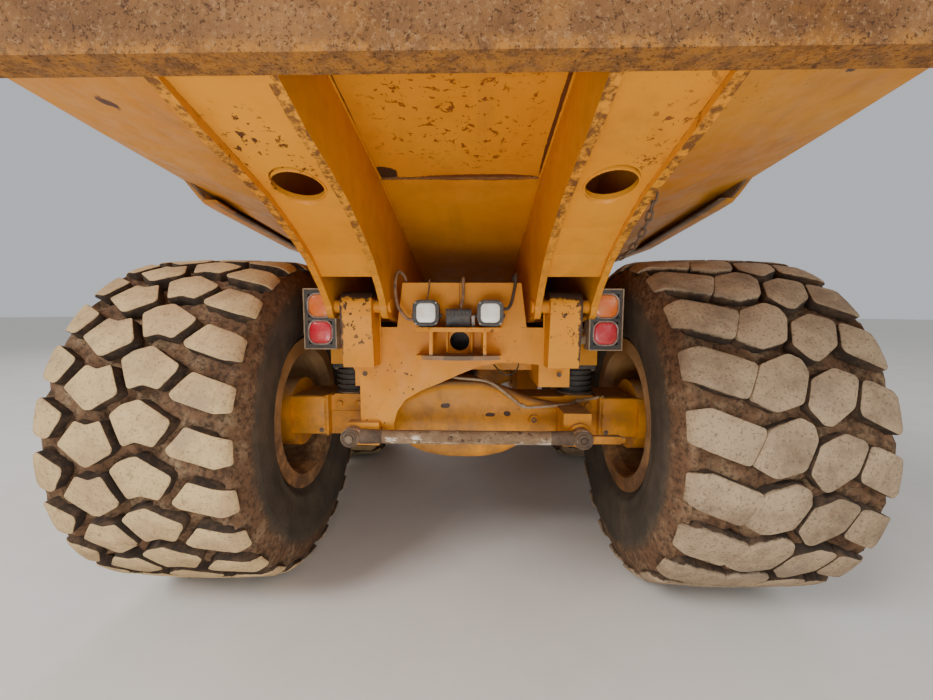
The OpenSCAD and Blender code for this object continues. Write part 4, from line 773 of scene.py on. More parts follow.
def flat_lug(outline, depth):
    """One tread block drawn flat: extruded, bevelled, and cut so that it can bend."""
    flat = bmesh.new()
    scale = TYRE_R * math.radians(1)
    x, y = (sum(p[i] for p in outline) / len(outline) for i in (0, 1))
    centre = Vector((x, y * scale, 0))
    top = flat.faces.new([flat.verts.new((x, a * scale, 0)) for x, a in outline])
    top.normal_update()
    if top.normal.z < 0:
        top.normal_flip()
    upper = verts_in(bmesh.ops.extrude_face_region(flat, geom=[top])["geom"])
    # The extruded face is the top; the first one becomes the wider foot
    foot = [v for v in flat.verts if v not in upper]
    bmesh.ops.translate(flat, vec=(0, 0, -depth), verts=foot)
    for v in foot:
        v.co += (Vector((v.co.x, v.co.y, 0)) - centre).normalized() * 0.005
    soften(flat, [e for e in flat.edges if abs(e.verts[0].co.z - e.verts[1].co.z) > depth / 2], 0.012)
    soften(flat, [e for e in flat.edges if all(v.co.z > -1e-4 for v in e.verts)], 0.006)
    cuts = [((0, centre.y + k * 0.032, 0), Y) for k in range(-4, 5)]
    cuts += [((math.copysign(x, centre.x), 0, 0), X) for x in (0.35, 0.38, 0.41)]
    for spot, across in cuts:
        bmesh.ops.bisect_plane(flat, geom=flat.verts[:] + flat.edges[:] + flat.faces[:], plane_co=spot,
                               plane_no=across, dist=1e-5)
    bmesh.ops.triangulate(flat, faces=[f for f in flat.faces if len(f.verts) > 4])
    return flat


def lugs(bm, wheel, side):
    """Adds the tread blocks of one tyre, each bent to the crown and chipped in its own way."""
    depth = bpy.context.scene.truck_tyres.lug_depth
    wear = bm.verts.layers.float.new("wear")
    pitches, outlines = TREADS[side]
    made = [flat_lug(outline, depth) for outline in outlines]
    for k in range(pitches):
        for flat in made:
            seed = Vector((k * 3.7, wheel.y * 5.1 + side, len(flat.verts)))
            wobble = 0.004 * noise.noise_vector(seed)
            tilt = 0.01 * noise.noise(seed * 2.3)
            new = {}
            for v in flat.verts:
                chip = noise.noise(Vector((v.co.x * 38, v.co.y * 38, k * 5.3 + v.co.z * 30)))
                s = v.co.x + wobble.x + 0.0022 * chip
                a = (v.co.y + wobble.y + tilt * v.co.x + 0.0022 * chip) / TYRE_R + k * (math.tau / pitches)
                h = v.co.z - 0.0035 * max(0, chip) - 0.5 * abs(wobble.z)
                new[v] = bm.verts.new(on_tread(s, a, h, wheel, side))
                new[v][wear] = 1 if v.co.z > -0.004 else max(0, 0.62 + 0.62 * v.co.z / depth)
            for f in flat.faces:
                bm.faces.new([new[v] for v in f.verts])
    for flat in made:
        flat.free()


def casing(bm, wheel, side):
    """Adds a tyre's casing: a revolve from bead to bead, with clods of mud between the blocks."""
    sizes = bpy.context.scene.truck_tyres
    wear = bm.verts.layers.float.new("wear")
    floor = TYRE_R - sizes.lug_depth - 0.006
    outline = list(SIDEWALL)
    for w in (0.365 - 0.73 * k / 40 for k in range(41)):
        outline.append((floor - CROWN_DROP * min(1, abs(w) / TREAD_HALF) ** 2, w))
    outline += [(r, -w) for r, w in reversed(SIDEWALL)]
    for v in turned(bm, outline + outline[:1], wheel, X, 168):
        arm = v.co - wheel
        radius = math.hypot(arm.y, arm.z)
        lump = noise.fractal(arm * 14 + Vector((side * 3, wheel.y, 0)), 0.9, 2.1, 5)
        v[wear] = max(0, min(1, (radius - 0.66) / 0.15))
        if radius > 0.8:
            out = Vector((0, arm.y, arm.z)).normalized()
            v.co += out * sizes.clods * (0.2 + 1.3 * lump) * min(1, (radius - 0.8) / 0.04)
        elif radius > 0.56:
            v.co.x += math.copysign(min(0, 0.002 * lump - 0.003), arm.x)


def tyres():
    # Vectors of noise shift with the random state, which is the time of day until it is set
    noise.seed_set(7)
    for name, wheel in WHEEL.items():
        side = side_of(name)
        for kind, form, look, sharp, replaces in (
                ("casing_", casing, "casing", 60, ("tyre_" + name,)),
                ("lugs_", lugs, "lugs" if side > 0 else "lugs_brown", 40, ())):
            bm = bmesh.new()
            form(bm, wheel, side)
            piece(bm, kind + name, look, "wheel_" + name, replaces, sharp)


def rear_lamps():
    low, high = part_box("tail_lenses")
    x, y, top = 0.7425, low[1], high[1]
    for name, z, replaces in (("amber_lens", 1.55, ("tail_lenses",)), ("red_lens", 1.41, ())):
        bm = bmesh.new()
        lens(bm, x, z, 0.116, 0.114, 0.04, y - 0.01, top - 0.01, 0.01)
        both_sides(bm)
        piece(bm, name + "es", name, replaces=replaces)
    bm = bmesh.new()
    for z in (1.55, 1.41):
        rim(bm, rounded(x, z, 0.134, 0.131, 0.048), rounded(x, z, 0.117, 0.115, 0.04), y - 0.012, top - 0.006)
    both_sides(bm)
    piece(bm, "lens_rims", "clear_ring")
    # Pale bracket plate whose edge frames each lamp box
    bm = bmesh.new()
    rim(bm, rounded(x, 1.48, 0.173, 0.318, 0.004, 2), rounded(x, 1.48, 0.161, 0.306, 0.003, 2), y - 0.075, y + 0.024)
    slab(bm, corners(0.6, 0.664, 1.35, 1.392), "y", y - 0.05, y - 0.042)
    bolts(bm, [(0.632, y - 0.042, 1.371)], Y, 0.008, 0.006)
    both_sides(bm)
    piece(bm, "lamp_brackets", "pale_pipe")

    # Work lamps: housing with ribs, bezel, lens, screws, pivots, and the bracket under them
    body, glass, screws = bmesh.new(), bmesh.new(), bmesh.new()
    y, z, w = PLATE + 0.135, 1.513, 0.122
    for x in (-0.141, 0.167):
        slab(body, rounded(x, z, w, w, 0.034), "y", y - 0.083, y - 0.012, 0.006)
        for k in range(6):
            slab(body, rounded(x, z, w - 0.012, w - 0.012, 0.03, 4), "y", y - 0.1 + 0.001 * k, y - 0.096, 0)
            brick(body, (x - 0.047 + 0.018 * k, y - 0.0915, z), (0.006, 0.027, 0.09), 0.001, 1)
        rim(body, rounded(x, z, w + 0.004, w + 0.004, 0.036), rounded(x, z, w - 0.03, w - 0.03, 0.024), y - 0.02,
            y - 0.002)
        lens(glass, x, z, w - 0.031, w - 0.031, 0.023, y - 0.016, y - 0.007, 0.004)
        bolts(screws, [(x + i * 0.049, y - 0.003, z + j * 0.049) for i in (-1, 1) for j in (-1, 1)], Y, 0.0052,
              0.003, washer=False)
        brick(body, (x, y - 0.045, 1.45075), (0.044, 0.03, 0.0125), 0.002)
        brick(body, (x, y - 0.045, 1.447), (0.06, 0.06, 0.005), 0.001)
        for s in (-1, 1):
            drum(body, (x + s * 0.06, y - 0.05, z - 0.012), (x + s * 0.073, y - 0.05, z - 0.012), 0.011, sides=16,
                 round_=0.002)
    # Alarm with slots in its face
    y = PLATE + 0.11
    slab(body, rounded(0.013, 1.487, 0.118, 0.083, 0.008), "y", PLATE + 0.042, y)
    for i, j in ((i, j) for i in range(3) for j in range(4) if i or j < 3):
        brick(body, (0.0075 - 0.012 * i, y + 0.0005, 1.479 - 0.011 * j), (0.007, 0.005, 0.006), 0.001, 1)
    for k in range(7):
        brick(body, (0.0575 - 0.0175 * k, y + 0.0005, 1.513), (0.009, 0.009, 0.026), 0.0015, 1)
    block(body, (-0.05, PLATE + 0.05, 1.526), (0.076, y - 0.01, 1.534), 0.003)
    piece(body, "lamp_housings", "plastic", replaces=("work_lamps",))
    piece(glass, "lamp_glasses", "lamp_glass")
    block(screws, (-0.068, y - 0.035, 1.4452), (-0.052, y - 0.006, 1.503), 0.001)
    bolts(screws, [(-0.06, y - 0.006, z) for z in (1.463, 1.491)], Y, 0.006, 0.005)
    piece(screws, "lamp_screws", "bare_steel")


def metres(points, y=0):
    """Points given in mm, moved along Y."""
    return [(a / 1000, y + b / 1000, c / 1000) for a, b, c in points]


# Cables over the rear plate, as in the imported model: radius, then (across, behind the plate, up), all in mm
CABLES = {
    "alarm": (8, ((-8, -39, 1610), (-8, -40, 1650), (-8, -38, 1676), (-8, -24, 1688), (-8, -4, 1687), (-8, 11, 1674),
                  (-8, 22, 1640), (-8, 36, 1600), (-4, 50, 1565), (2, 58, 1546), (2, 58, 1530))),
    "lamp": (4, ((163, -35, 1610), (163, -36, 1655), (163, -32, 1674), (163, -20, 1680), (163, -4, 1680),
                 (163, 10, 1670), (163, 22, 1640), (164, 46, 1612), (165, 68, 1592), (165, 70, 1573))),
    "left": (8, ((280, -39, 1600), (284, -40, 1655), (292, -38, 1690), (305, -14, 1716), (318, 16, 1718),
                 (326, 40, 1680), (326, 58, 1620), (312, 72, 1550), (278, 84, 1498), (252, 90, 1482),
                 (227, 90, 1482))),
    "right": (8, ((-255, -39, 1600), (-257, -40, 1652), (-262, -38, 1684), (-270, -12, 1706), (-272, 16, 1704),
                  (-268, 38, 1668), (-258, 58, 1620), (-244, 80, 1562), (-226, 90, 1535), (-201, 90, 1535))),
}
# Lines behind the plate, across the frame's end and along an axle, and the chain's path from tub to web
PLATE_LINE = ((-300, -55, 1640), (-160, -50, 1668), (0, -50, 1655), (160, -50, 1672), (300, -55, 1645))
FRAME_LINE = ((-170, 100, 1225), (-215, 160, 1180), (-262, 170, 1166), (-310, 140, 1200), (-325, 80, 1250))
BRAKE_LINE = ((75, 150, 1150), (10, 180, 1146), (-100, 200, 1140), (-167, 214, 1122), (-250, 218, 1062),
              (-335, 218, 998), (-420, 216, 994), (-580, 190, 1004), (-660, 128, 1010), (-800, 150, 1042))
CHAIN = ((-850, 150, 2118), (-846, 132, 2010), (-836, 96, 1920), (-818, 44, 1848), (-792, -20, 1800),
         (-760, -86, 1776), (-726, -140, 1776), (-692, -182, 1794), (-660, -212.5, 1826))


def chain_link(bm, a, b, half, quarter):
    """A welded link between two places of the chain."""
    wide, wire = 0.0115, 0.0052
    roll = Matrix.Rotation(math.pi / 4 + math.pi / 2 * quarter, 3, "Z").to_quaternion()
    turn = (b - a).normalized().to_track_quat("Z", "Y") @ roll
    loop = []
    for t in (math.tau * k / 20 for k in range(20)):
        straight = math.copysign(half - wide + 0.004, math.sin(t)) if abs(math.sin(t)) > 0.01 else 0
        loop.append((a + b) / 2 + turn @ Vector((wide * math.cos(t), 0, straight + wide * math.sin(t))))
    tube(bm, loop, wire, 8, closed=True)


def cables():
    sheath, dark = bmesh.new(), bmesh.new()
    for name, (r, points) in CABLES.items():
        pipe(dark if name == "right" else sheath, metres(points, PLATE), r / 1000, steps=4, lumps=0.05)
    piece(sheath, "lamp_cables", "cable", replaces=("rear_cables",))
    pipe(dark, metres(PLATE_LINE, PLATE), 0.009, 8, 8)
    pipe(dark, metres(FRAME_LINE, AXLE_3), 0.004, 8, 8)
    piece(dark, "dark_lines", "black_rubber")

    route = smooth_route(metres(CHAIN, HINGE.y), 12)
    far = [0]
    for a, b in zip(route, route[1:]):
        far.append(far[-1] + (b - a).length)

    def at(d):
        k = next((i for i in range(len(far) - 1) if far[i + 1] >= d), len(far) - 2)
        return route[k].lerp(route[k + 1], min(1, (d - far[k]) / (far[k + 1] - far[k])))
    bm = bmesh.new()
    links = 16
    gap = far[-1] / links
    for i in range(links):
        chain_link(bm, at(i * gap), at((i + 1) * gap), gap / 2 - 0.0005, i % 2)
    # Lugs that hold the first and the last link
    for low, high in (((-866, 140, 2096), (-834, 152, 2165)), ((-664, -232, 1800), (-637, -194, 1812)),
                      ((-676, -222, 1806), (-637, -206, 1846))):
        block(bm, *metres((low, high), HINGE.y), 0.003)
    piece(bm, "chain_links", "dirty_steel", "dump_body", ("body_chain",))


def rear_frame():
    # Beads of the shelves and gussets on the plate, and of the hinge columns
    y = PLATE
    bm = bmesh.new()
    for z in (1.446, 1.423, 1.311, 1.289):
        weld(bm, [(-0.195, y + 0.003, z), (0.215, y + 0.003, z)], 0.005)
    for x in (-0.125, -0.105, 0.131, 0.151):
        weld(bm, [(x, y + 0.003, 1.312), (x, y + 0.003, 1.424)], 0.004)
        weld(bm, [(x, y + 0.01, 1.424), (x, y + 0.14, 1.424)], 0.004)
    for x, out in ((-0.418, -0.565), (0.418, 0.565)):
        weld(bm, [(x, y + 0.003, 1.255), (x, y + 0.003, 1.61)], 0.006)
        weld(bm, [(x, y + 0.003, 1.25), (out, y + 0.003, 1.25)], 0.006)
    piece(bm, "bracket_welds", "frame_paint")

    # Pin caps on both faces of each hinge column, bolts of the lateral rod's ear and of the frame's cross plate
    bm = bmesh.new()
    for x, out in ((-0.418, 1), (-0.572, -1), (0.418, -1), (0.572, 1)):
        turned(bm, [(0, 0.012), (0.02, 0.012), (0.026, 0.008), (0.028, 0)], (x, HINGE.y, HINGE.z), X * out, 24)
    bolts(bm, [(0.553, AXLE_3 + 0.488, 0.89)], Y, 0.022, 0.02)
    bolts(bm, [(0.5, y, 1.2), (-0.5, y, 1.2)], Y, 0.009, 0.007)
    piece(bm, "hinge_pins", "dirty_steel")

    # Lips at both sides of the tow hole, its turned sleeve, and two seams
    bm = bmesh.new()
    for x in (-0.052, 0.072):
        brick(bm, (x, y + 0.0215, 1.368), (0.012, 0.047, 0.112), 0.003)
    piece(bm, "hole_lips", "frame_paint")
    bm = bmesh.new()
    turned(bm, [(0.0515, 0), (0.0515, 0.16), (0.06, 0.16), (0.06, 0), (0.0515, 0)], (0.01, y - 0.19, 1.37), Y, 40)
    turned(bm, [(0, 0), (0.058, 0), (0.058, 0.008), (0, 0.008)], (0.01, y - 0.198, 1.37), Y, 40)
    piece(bm, "tow_sleeve", "black_steel", slot="steel")
    bm = bmesh.new()
    block(bm, (0.0086, y - 0.001, 1.535), (0.0114, y + 0.001, 1.666), 0)
    block(bm, (-0.3264, y - 0.001, 1.44), (-0.2986, y + 0.001, 1.441), 0)
    piece(bm, "seam_line", "seam")


def body():
    # Bead across the floor between the beams, beads along the webs and bent side plates, and across the tail
    bm = bmesh.new()
    weld(bm, [(-0.349, WELD_Y, 2.099), (0.349, WELD_Y, 2.099)])
    piece(bm, "floor_weld", "weld", "dump_body")
    bm = bmesh.new()
    tail = 5.528
    stations = ((tail, 2.234), (WELD_Y, 2.1), (AXLE_3 - 1.2, 1.724), (1.2, 1.724))
    for x in (0.3475, 0.6425, 0.3825, 0.6075):
        weld(bm, [(x, y, z - 0.002) for y, z in stations], 0.006)
    weld(bm, [(0.652, y, z) for y, z in stations], 0.004)
    both_sides(bm)
    for x0, z0, x1, z1 in ((-1.59, 2.392, -0.65, 2.228), (0.65, 2.228, 1.59, 2.392), (-0.65, 2.23, 0.65, 2.23)):
        weld(bm, [(x0, tail, z0), (x1, tail, z1)])
    piece(bm, "body_welds", "beam_paint", "dump_body")

    # Rails under the side plates, cut off at a slant behind the rear axle
    bm = bmesh.new()
    slab(bm, [(-0.8, 2.152), (2.755, 2.152), (3.755, 2.242), (4.06, 2.268), (3.93, 2.192), (3.755, 2.17),
              (2.755, 2.085), (-0.8, 2.085)], "x", 1.555, 1.595, 0.004)
    slab(bm, [(-0.8, 2.086), (2.755, 2.086), (3.755, 2.171), (3.92, 2.189), (3.88, 2.172), (3.755, 2.158),
              (2.755, 2.073), (-0.8, 2.073)], "x", 1.495, 1.595)
    both_sides(bm)
    piece(bm, "side_rails", "body_paint", "dump_body")

    # Steel rims of the two round openings in the beams
    bm = bmesh.new()
    for s in (-1, 1):
        turned(bm, [(0.08, -0.004), (0.08, 0.014), (0.086, 0.014), (0.087, 0), (0.085, -0.004), (0.08, -0.004)],
               (s * 0.495, HINGE.y + 0.653, HINGE.z + 0.3715), (0, -0.261, 0.965), 48)
    piece(bm, "opening_rims", "beam_paint", "dump_body")


def axles():
    paint, steel = bmesh.new(), bmesh.new()
    for axle in (AXLE_2, AXLE_3):
        face = axle + 0.115
        for s in (-1, 1):
            bolts(paint, [(s * x, face, 0.982) for x in (0.613, 0.722)], Y, 0.021, 0.018)
            brick(paint, (s * 0.67, face + 0.001, 0.9385), (0.22, 0.006, 0.007), 0.002)
            # Flange between the arm and the brake housing, then the housing's cover with its folded upper edge
            brick(paint, (s * 0.782, axle, 0.9235), (0.016, 0.34, 0.237))
            bolts(paint, [(s * 0.79, axle + 0.166, z) for z in (0.83, 0.93, 1.02)], Y, 0.009, 0.007)
            brick(paint, (s * 0.9, axle + 0.165, 0.9205), (0.21, 0.01, 0.211))
            brick(paint, (s * 0.9, axle + 0.148, 1.03), (0.216, 0.056, 0.008), 0.003)
            bolts(steel, [(s * 0.815, axle + 0.168, 0.838)], Y, 0.01, 0.008)
        # Smooth casting of the banjo housing
        low = [(0.56, 0.835), (0.47, 0.815), (0.34, 0.775), (0.23, 0.715), (0.1, 0.69)]
        high = [(0.1, 1.128), (0.23, 1.098), (0.34, 1.045), (0.47, 1.012), (0.56, 1)]
        slab(paint, low + [(-x, z) for x, z in reversed(high + low)] + high, "y", axle + 0.05, axle + 0.205, 0.045, 5)
        # Level plug with a socket, and the drain plug below
        spot = Vector((-0.398, face + 0.083, 0.922))
        turned(paint, [(0, 0.03), (0.02, 0.03), (0.026, 0.026), (0.028, 0)], spot, Y, 24)
        turned(steel, [(0.006, 0.026), (0.009, 0.034), (0.015, 0.035), (0.017, 0.028), (0.017, 0.018), (0.006, 0.018),
                       (0.006, 0.026)], spot, Y, 6)
        turned(paint, [(0, -0.25), (0.02, -0.25), (0.03, -0.242), (0.034, -0.225), (0.05, -0.21), (0.052, -0.18)],
               (0, axle + 0.02, TYRE_R), Z, 24)
    piece(paint, "axle_bolts", "axle_paint")
    piece(steel, "axle_plugs", "dirty_steel")

    # Pale brake pipe along each axle, held by two clips
    bm = bmesh.new()
    for axle in (AXLE_2, AXLE_3):
        route = metres(BRAKE_LINE, axle)
        pipe(bm, route, 0.0075, 8)
        for x, y, z in (route[5], route[8]):
            block(bm, (x - 0.01, axle + 0.114, z - 0.011), (x + 0.01, y + 0.009, z + 0.011), 0.002)
    piece(bm, "brake_pipes", "pale_pipe")

    # Lateral rods: rings, bolt and clamp of each bush
    bm = bmesh.new()
    for y, z, ends in ((AXLE_3 + 0.45, 0.89, (-0.606, 0.553)), (AXLE_2 + 0.45, 1.05, (-0.505, 0.5))):
        for x, s in zip(ends, (1, -1)):
            for r0, r1, reach in ((0.034, 0.047, 0.04), (0.018, 0.03, 0.044)):
                turned(bm, [(r0, 0), (r0, reach), (r1, reach), (r1, 0), (r0, 0)], (x, y, z), Y, 32)
            bolts(bm, [(x, y + 0.036, z)], Y, 0.015, 0.014)
            drum(bm, (x + s * 0.045, y, z), (x + s * 0.16, y, z), 0.038, 0.0345, 32, 0.003)
    piece(bm, "rod_bushes", "dark_rust")
    bm = bmesh.new()
    block(bm, (-0.805, AXLE_3 + 0.415, 0.86), (-0.64, AXLE_3 + 0.455, 0.902), 0.008)
    drum(bm, (-0.8, AXLE_3 + 0.435, 0.881), (-0.826, AXLE_3 + 0.435, 0.881), 0.017, sides=20, round_=0.004)
    piece(bm, "guard_bar", "axle_paint")
    # Clamp rings and bolts of the rubber springs
    bm = bmesh.new()
    for x, y in ((s * 0.67, axle) for axle in (AXLE_2, AXLE_3) for s in (-1, 1)):
        turned(bm, [(0.08, 0), (0.108, 0), (0.112, 0.004), (0.112, 0.011), (0.106, 0.014), (0.08, 0.014), (0.08, 0)],
               (x, y, 1.0385), Z, 40)
        bolts(bm, [(x + a, y + b, 1.194) for a in (-0.08, 0.075) for b in (-0.095, 0.095)], -Z, 0.011, 0.012)
    piece(bm, "spring_rings", "dirty_steel")


# Steps and outline of the lock ring, its gap, the planet cover's ring and the stiffening ring of the disc
WHEEL_RINGS = (
    (96, [(0.405, 0.384), (0.412, 0.394), (0.43, 0.397), (0.452, 0.393), (0.457, 0.384), (0.457, 0.37), (0.405, 0.37)]),
    (96, [(0.352, 0.355), (0.356, 0.372), (0.366, 0.376), (0.369, 0.384), (0.378, 0.386), (0.378, 0.35)]),
    (64, [(0.15, 0.284), (0.15, 0.293), (0.157, 0.295), (0.164, 0.285), (0.164, 0.278)]),
    (96, [(0.285, 0.118), (0.287, 0.128), (0.335, 0.128), (0.337, 0.118)]),
)


def wheels():
    for name, wheel in WHEEL.items():
        out = X * side_of(name)
        steel, paint = bmesh.new(), bmesh.new()
        for reach, r, n, way, head, high in ((0.12, 0.262, 20, 1, 0.018, 0.024), (0.09, 0.262, 20, -1, 0.016, 0.014),
                                             (0.288, 0.128, 12, 1, 0.012, 0.01)):
            bolts(steel, ring(wheel + out * reach, X, r, n), out * way, head, high)
        drum(steel, wheel + out * 0.284, wheel + out * 0.302, 0.026, sides=6, round_=0.003)
        valve = wheel + Vector((0, 0.3, 0.14))
        drum(steel, valve + out * 0.16, valve + out * 0.205, 0.006, sides=12)
        piece(steel, "nuts_" + name, "dirty_steel", "wheel_" + name)
        for steps, outline in WHEEL_RINGS:
            turned(paint, outline + outline[:1], wheel, out, steps)
        piece(paint, "rings_" + name, "rim_paint", "wheel_" + name)


def glands(bm, at, drums, sides, round_, line, r, steps):
    """Bands of a cylinder and the oil pipe along it; at gives the place at a distance along and a height over it."""
    for d, radius, w in drums:
        drum(bm, at(d), at(d + w), radius, sides=sides, round_=round_)
    pipe(bm, [at(d, up) for d, up in line], r, steps=steps)


def cylinders():
    base, eye = Vector((0.725, AXLE_2 - 1.065, 1.3)), Vector((0.725, HINGE.y - 1.325, 1.6))
    along = (eye - base).normalized()
    reach = (eye - base).length - 0.24
    for side, s in (("left", 1), ("right", -1)):
        def hoist(d, up=0, out=0):
            return (base + along * d + Vector((out, -along.z * up, along.y * up))) * Vector((s, 1, 1))
        bm = bmesh.new()
        glands(bm, hoist,
               ((0.1, 0.079, 0.022), (reach - 0.06, 0.082, 0.05), (reach, 0.084, 0.024), (0.7, 0.078, 0.012)),
               48, 0.003,
               ((0.16, 0.06), (0.16, 0.1), (0.22, 0.106), (reach - 0.16, 0.106), (reach - 0.1, 0.1),
                (reach - 0.1, 0.06)), 0.009, 6)
        bolts(bm, ring(hoist(reach + 0.024), along, 0.066, 8), along, 0.008, 0.008)
        for d in (0.55, 1.15):
            brick(bm, hoist(d, 0.092), (0.036, 0.024, 0.044), 0.003)
        piece(bm, "hoist_gland_" + side, "front_paint", "hoist_cylinder_" + side)
        bm = bmesh.new()
        drum(bm, hoist(0, 0, 0.094), hoist(0, 0, 0.104), 0.05, round_=0.003)
        bolts(bm, [hoist(0, 0.03, 0.104), hoist(0, -0.03, 0.104)], X * s, 0.009, 0.008)
        piece(bm, "hoist_pin_" + side, "dirty_steel")

        pin, rod_eye = Vector((0.6 * s, -2.23, 1.07)), Vector((0.38 * s, -1.175, 1.07))
        way = (rod_eye - pin).normalized()
        end = (rod_eye - pin).length - 0.323
        bm = bmesh.new()
        glands(bm, lambda d, up=0: pin + way * d + Z * up,
               ((end - 0.05, 0.0595, 0.035), (end - 0.012, 0.062, 0.016), (0.09, 0.059, 0.016)), 40, 0.002,
               ((0.13, 0.05), (0.13, 0.078), (0.18, 0.084), (end - 0.14, 0.084), (end - 0.09, 0.078),
                (end - 0.09, 0.05)), 0.007, 5)
        piece(bm, "steer_gland_" + side, "front_paint", "steer_cylinder_" + side)
    # Bolts of the king pin's caps and of the oscillation housing
    bm = bmesh.new()
    for z, up in ((1.44, Z), (0.7, -Z)):
        bolts(bm, ring((0, -1.225, z), Z, 0.058, 8), up, 0.01, 0.009)
    piece(bm, "king_pin_bolts", "dirty_steel", "hitch")
    bm = bmesh.new()
    bolts(bm, ring((0, -0.28, 1.07), Y, 0.215, 16), Y, 0.012, 0.01)
    bolts(bm, ring((0, -0.76, 1.07), Y, 0.226, 16), -Y, 0.01, 0.003)
    piece(bm, "housing_bolts", "dirty_steel")


def front():
    y = FRONT
    # Headlamps: bowl, glass and bezel
    glass, bezel, chrome = bmesh.new(), bmesh.new(), bmesh.new()
    for x in (0.85, 1.07):
        mid = Vector((x, y + 0.012, 1.055))
        turned(chrome, [(0, -0.05), (0.03, -0.048), (0.055, -0.03), (0.062, -0.006), (0.066, -0.006), (0.06, -0.04),
                        (0.034, -0.054), (0, -0.056)], mid, -Y, 48)
        turned(glass, [(0, 0.006), (0.025, 0.0055), (0.048, 0.003), (0.062, -0.002), (0.062, -0.008), (0, -0.004)],
               mid + Y * 0.006, -Y, 48)
        turned(bezel, [(0.062, -0.02), (0.062, -0.001), (0.066, 0.003), (0.072, 0.001), (0.073, -0.02),
                       (0.062, -0.02)], mid + Y * 0.006, -Y, 48)
        w = 0.088
        slab(bezel, corners(x - w, x + w, 0.982, 1.128), "y", y + 0.058, y + 0.069, 0.003)
        for sx in (-1, 1):
            brick(bezel, (x + sx * 0.082, y + 0.038, 1.055), (0.012, 0.056, 0.142), 0.002)
    for bm in (glass, bezel, chrome):
        both_sides(bm)
    piece(glass, "headlamp_glasses", "head_glass", "front_unit", replaces=("headlamps",))
    piece(bezel, "headlamp_bezels", "plastic", "front_unit")
    piece(chrome, "headlamp_bowls", "rod_chrome", "front_unit")

    # Bumper: upper tread strips and the frame of its plate
    bm = bmesh.new()
    for k in range(22):
        brick(bm, (-1.05 + k * 0.1, y + 0.1, 1.28125), (0.06, 0.16, 0.0045), 0.0015, 1)
    rim(bm, rounded(0, 1.06, 1.1, 0.24, 0.02), rounded(0, 1.06, 1.06, 0.2, 0.014), y + 0.001, y + 0.004)
    piece(bm, "bumper_treads", "black_steel", "front_unit")

    # Radiator core behind the slats, and the screws of the grille's frame
    bm = bmesh.new()
    for k in range(36):
        brick(bm, (-0.525 + k * 0.03, y + 0.357, 1.85), (0.006, 0.01, 0.43), 0)
    block(bm, (-0.53, y + 0.362, 1.632), (0.53, y + 0.372, 2.068), 0.002)
    piece(bm, "grille_core", "black_steel", "hood")
    bm = bmesh.new()
    bolts(bm, [(x, y + 0.33, z) for x in (-0.54, -0.18, 0.18, 0.54) for z in (1.618, 2.082)], -Y, 0.009, 0.006)
    piece(bm, "grille_screws", "dirty_steel", "hood")

    # Hood: rolled edges, side vents, latches and handles
    bm = bmesh.new()
    line = [(-3.522, 2.551), (-4.905, 2.371), (-5.266, 2.194), (-5.364, 1.512)]
    for s in (-1, 1):
        route = [Vector((s * 0.771, a, b)) for a, b in line]
        route = [route[0]] + [p.lerp(q, t) for p, q in zip(route, route[1:]) for t in (0.03, 0.5, 0.97)] + [route[-1]]
        tube(bm, route, 0.0155, 12)
        # Raised panel with louvres
        for k in range(9):
            slab(bm, corners(-4.55, -3.85, 1.8 + 0.055 * k, 1.825 + 0.055 * k), "x", s * 0.778, s * 0.788, 0.004)
        for side in ((-4.6, -4.57, 1.77, 2.29), (-3.83, -3.8, 1.77, 2.29), (-4.6, -3.8, 1.76, 1.785),
                     (-4.6, -3.8, 2.28, 2.305)):
            slab(bm, corners(*side), "x", s * 0.778, s * 0.786, 0.003)
    for a, b in line[1:3]:
        tube(bm, [(x, a - 0.004, b + 0.002) for x in (-0.76, -0.4, 0, 0.4, 0.76)], 0.011)
    fall = Matrix.Rotation(math.radians(-7.4), 3, "X")
    for x in (-0.26, 0.26):
        block(bm, (x - 0.012, -4.72, 2.4), (x + 0.012, -3.7, 2.422), 0.006, turn=fall)
    piece(bm, "hood_trim", "front_paint", "hood")
    bm = bmesh.new()
    for s in (-1, 1):
        for a in (-3.62, -4.75):
            brick(bm, (s * 0.784, a, 1.61), (0.016, 0.04, 0.1))
            brick(bm, (s * 0.794, a, 1.605), (0.012, 0.024, 0.05))
        pipe(bm, [(s * 0.779, -5.1, 1.7), (s * 0.815, -5.1, 1.72), (s * 0.815, -5.1, 1.88), (s * 0.779, -5.1, 1.9)],
             0.009)
    piece(bm, "hood_latches", "black_steel", "hood")

    # Fuel tank: straps, cap and sight pipe
    bm = bmesh.new()
    strap = ((-4.213, 1.33), (-4.213, 0.9), (-4.185, 0.825), (-4.11, 0.793), (-3.58, 0.793), (-3.505, 0.825),
             (-3.477, 0.9), (-3.477, 1.33))
    for x in (-1.45, -1.08):
        path = [Vector((x, *p)) for p in strap]
        for a, b in zip(path, path[1:]):
            rise = Matrix.Rotation(math.atan2(b.z - a.z, b.y - a.y), 3, "X")
            brick(bm, (a + b) / 2, (0.06, (b - a).length + 0.004, 0.005), 0, turn=rise)
    drum(bm, (-1.602, -4, 1.22), (-1.64, -4, 1.235), 0.055, 0.05, 32, 0.004)
    for k in range(12):
        a = math.tau * k / 12
        brick(bm, (-1.625, -4 + 0.051 * math.cos(a), 1.232 + 0.051 * math.sin(a)), (0.03, 0.01, 0.01), 0.002)
    pipe(bm, [(-1.598, -3.62, 0.92), (-1.618, -3.62, 0.92), (-1.618, -3.62, 1.25), (-1.598, -3.62, 1.25)], 0.008,
         steps=5)
    bolts(bm, [(-1.25, -4.206, 0.86), (-1.55, -4.206, 0.86)], -Y, 0.014, 0.012)
    piece(bm, "tank_fittings", "bare_steel", "front_unit")

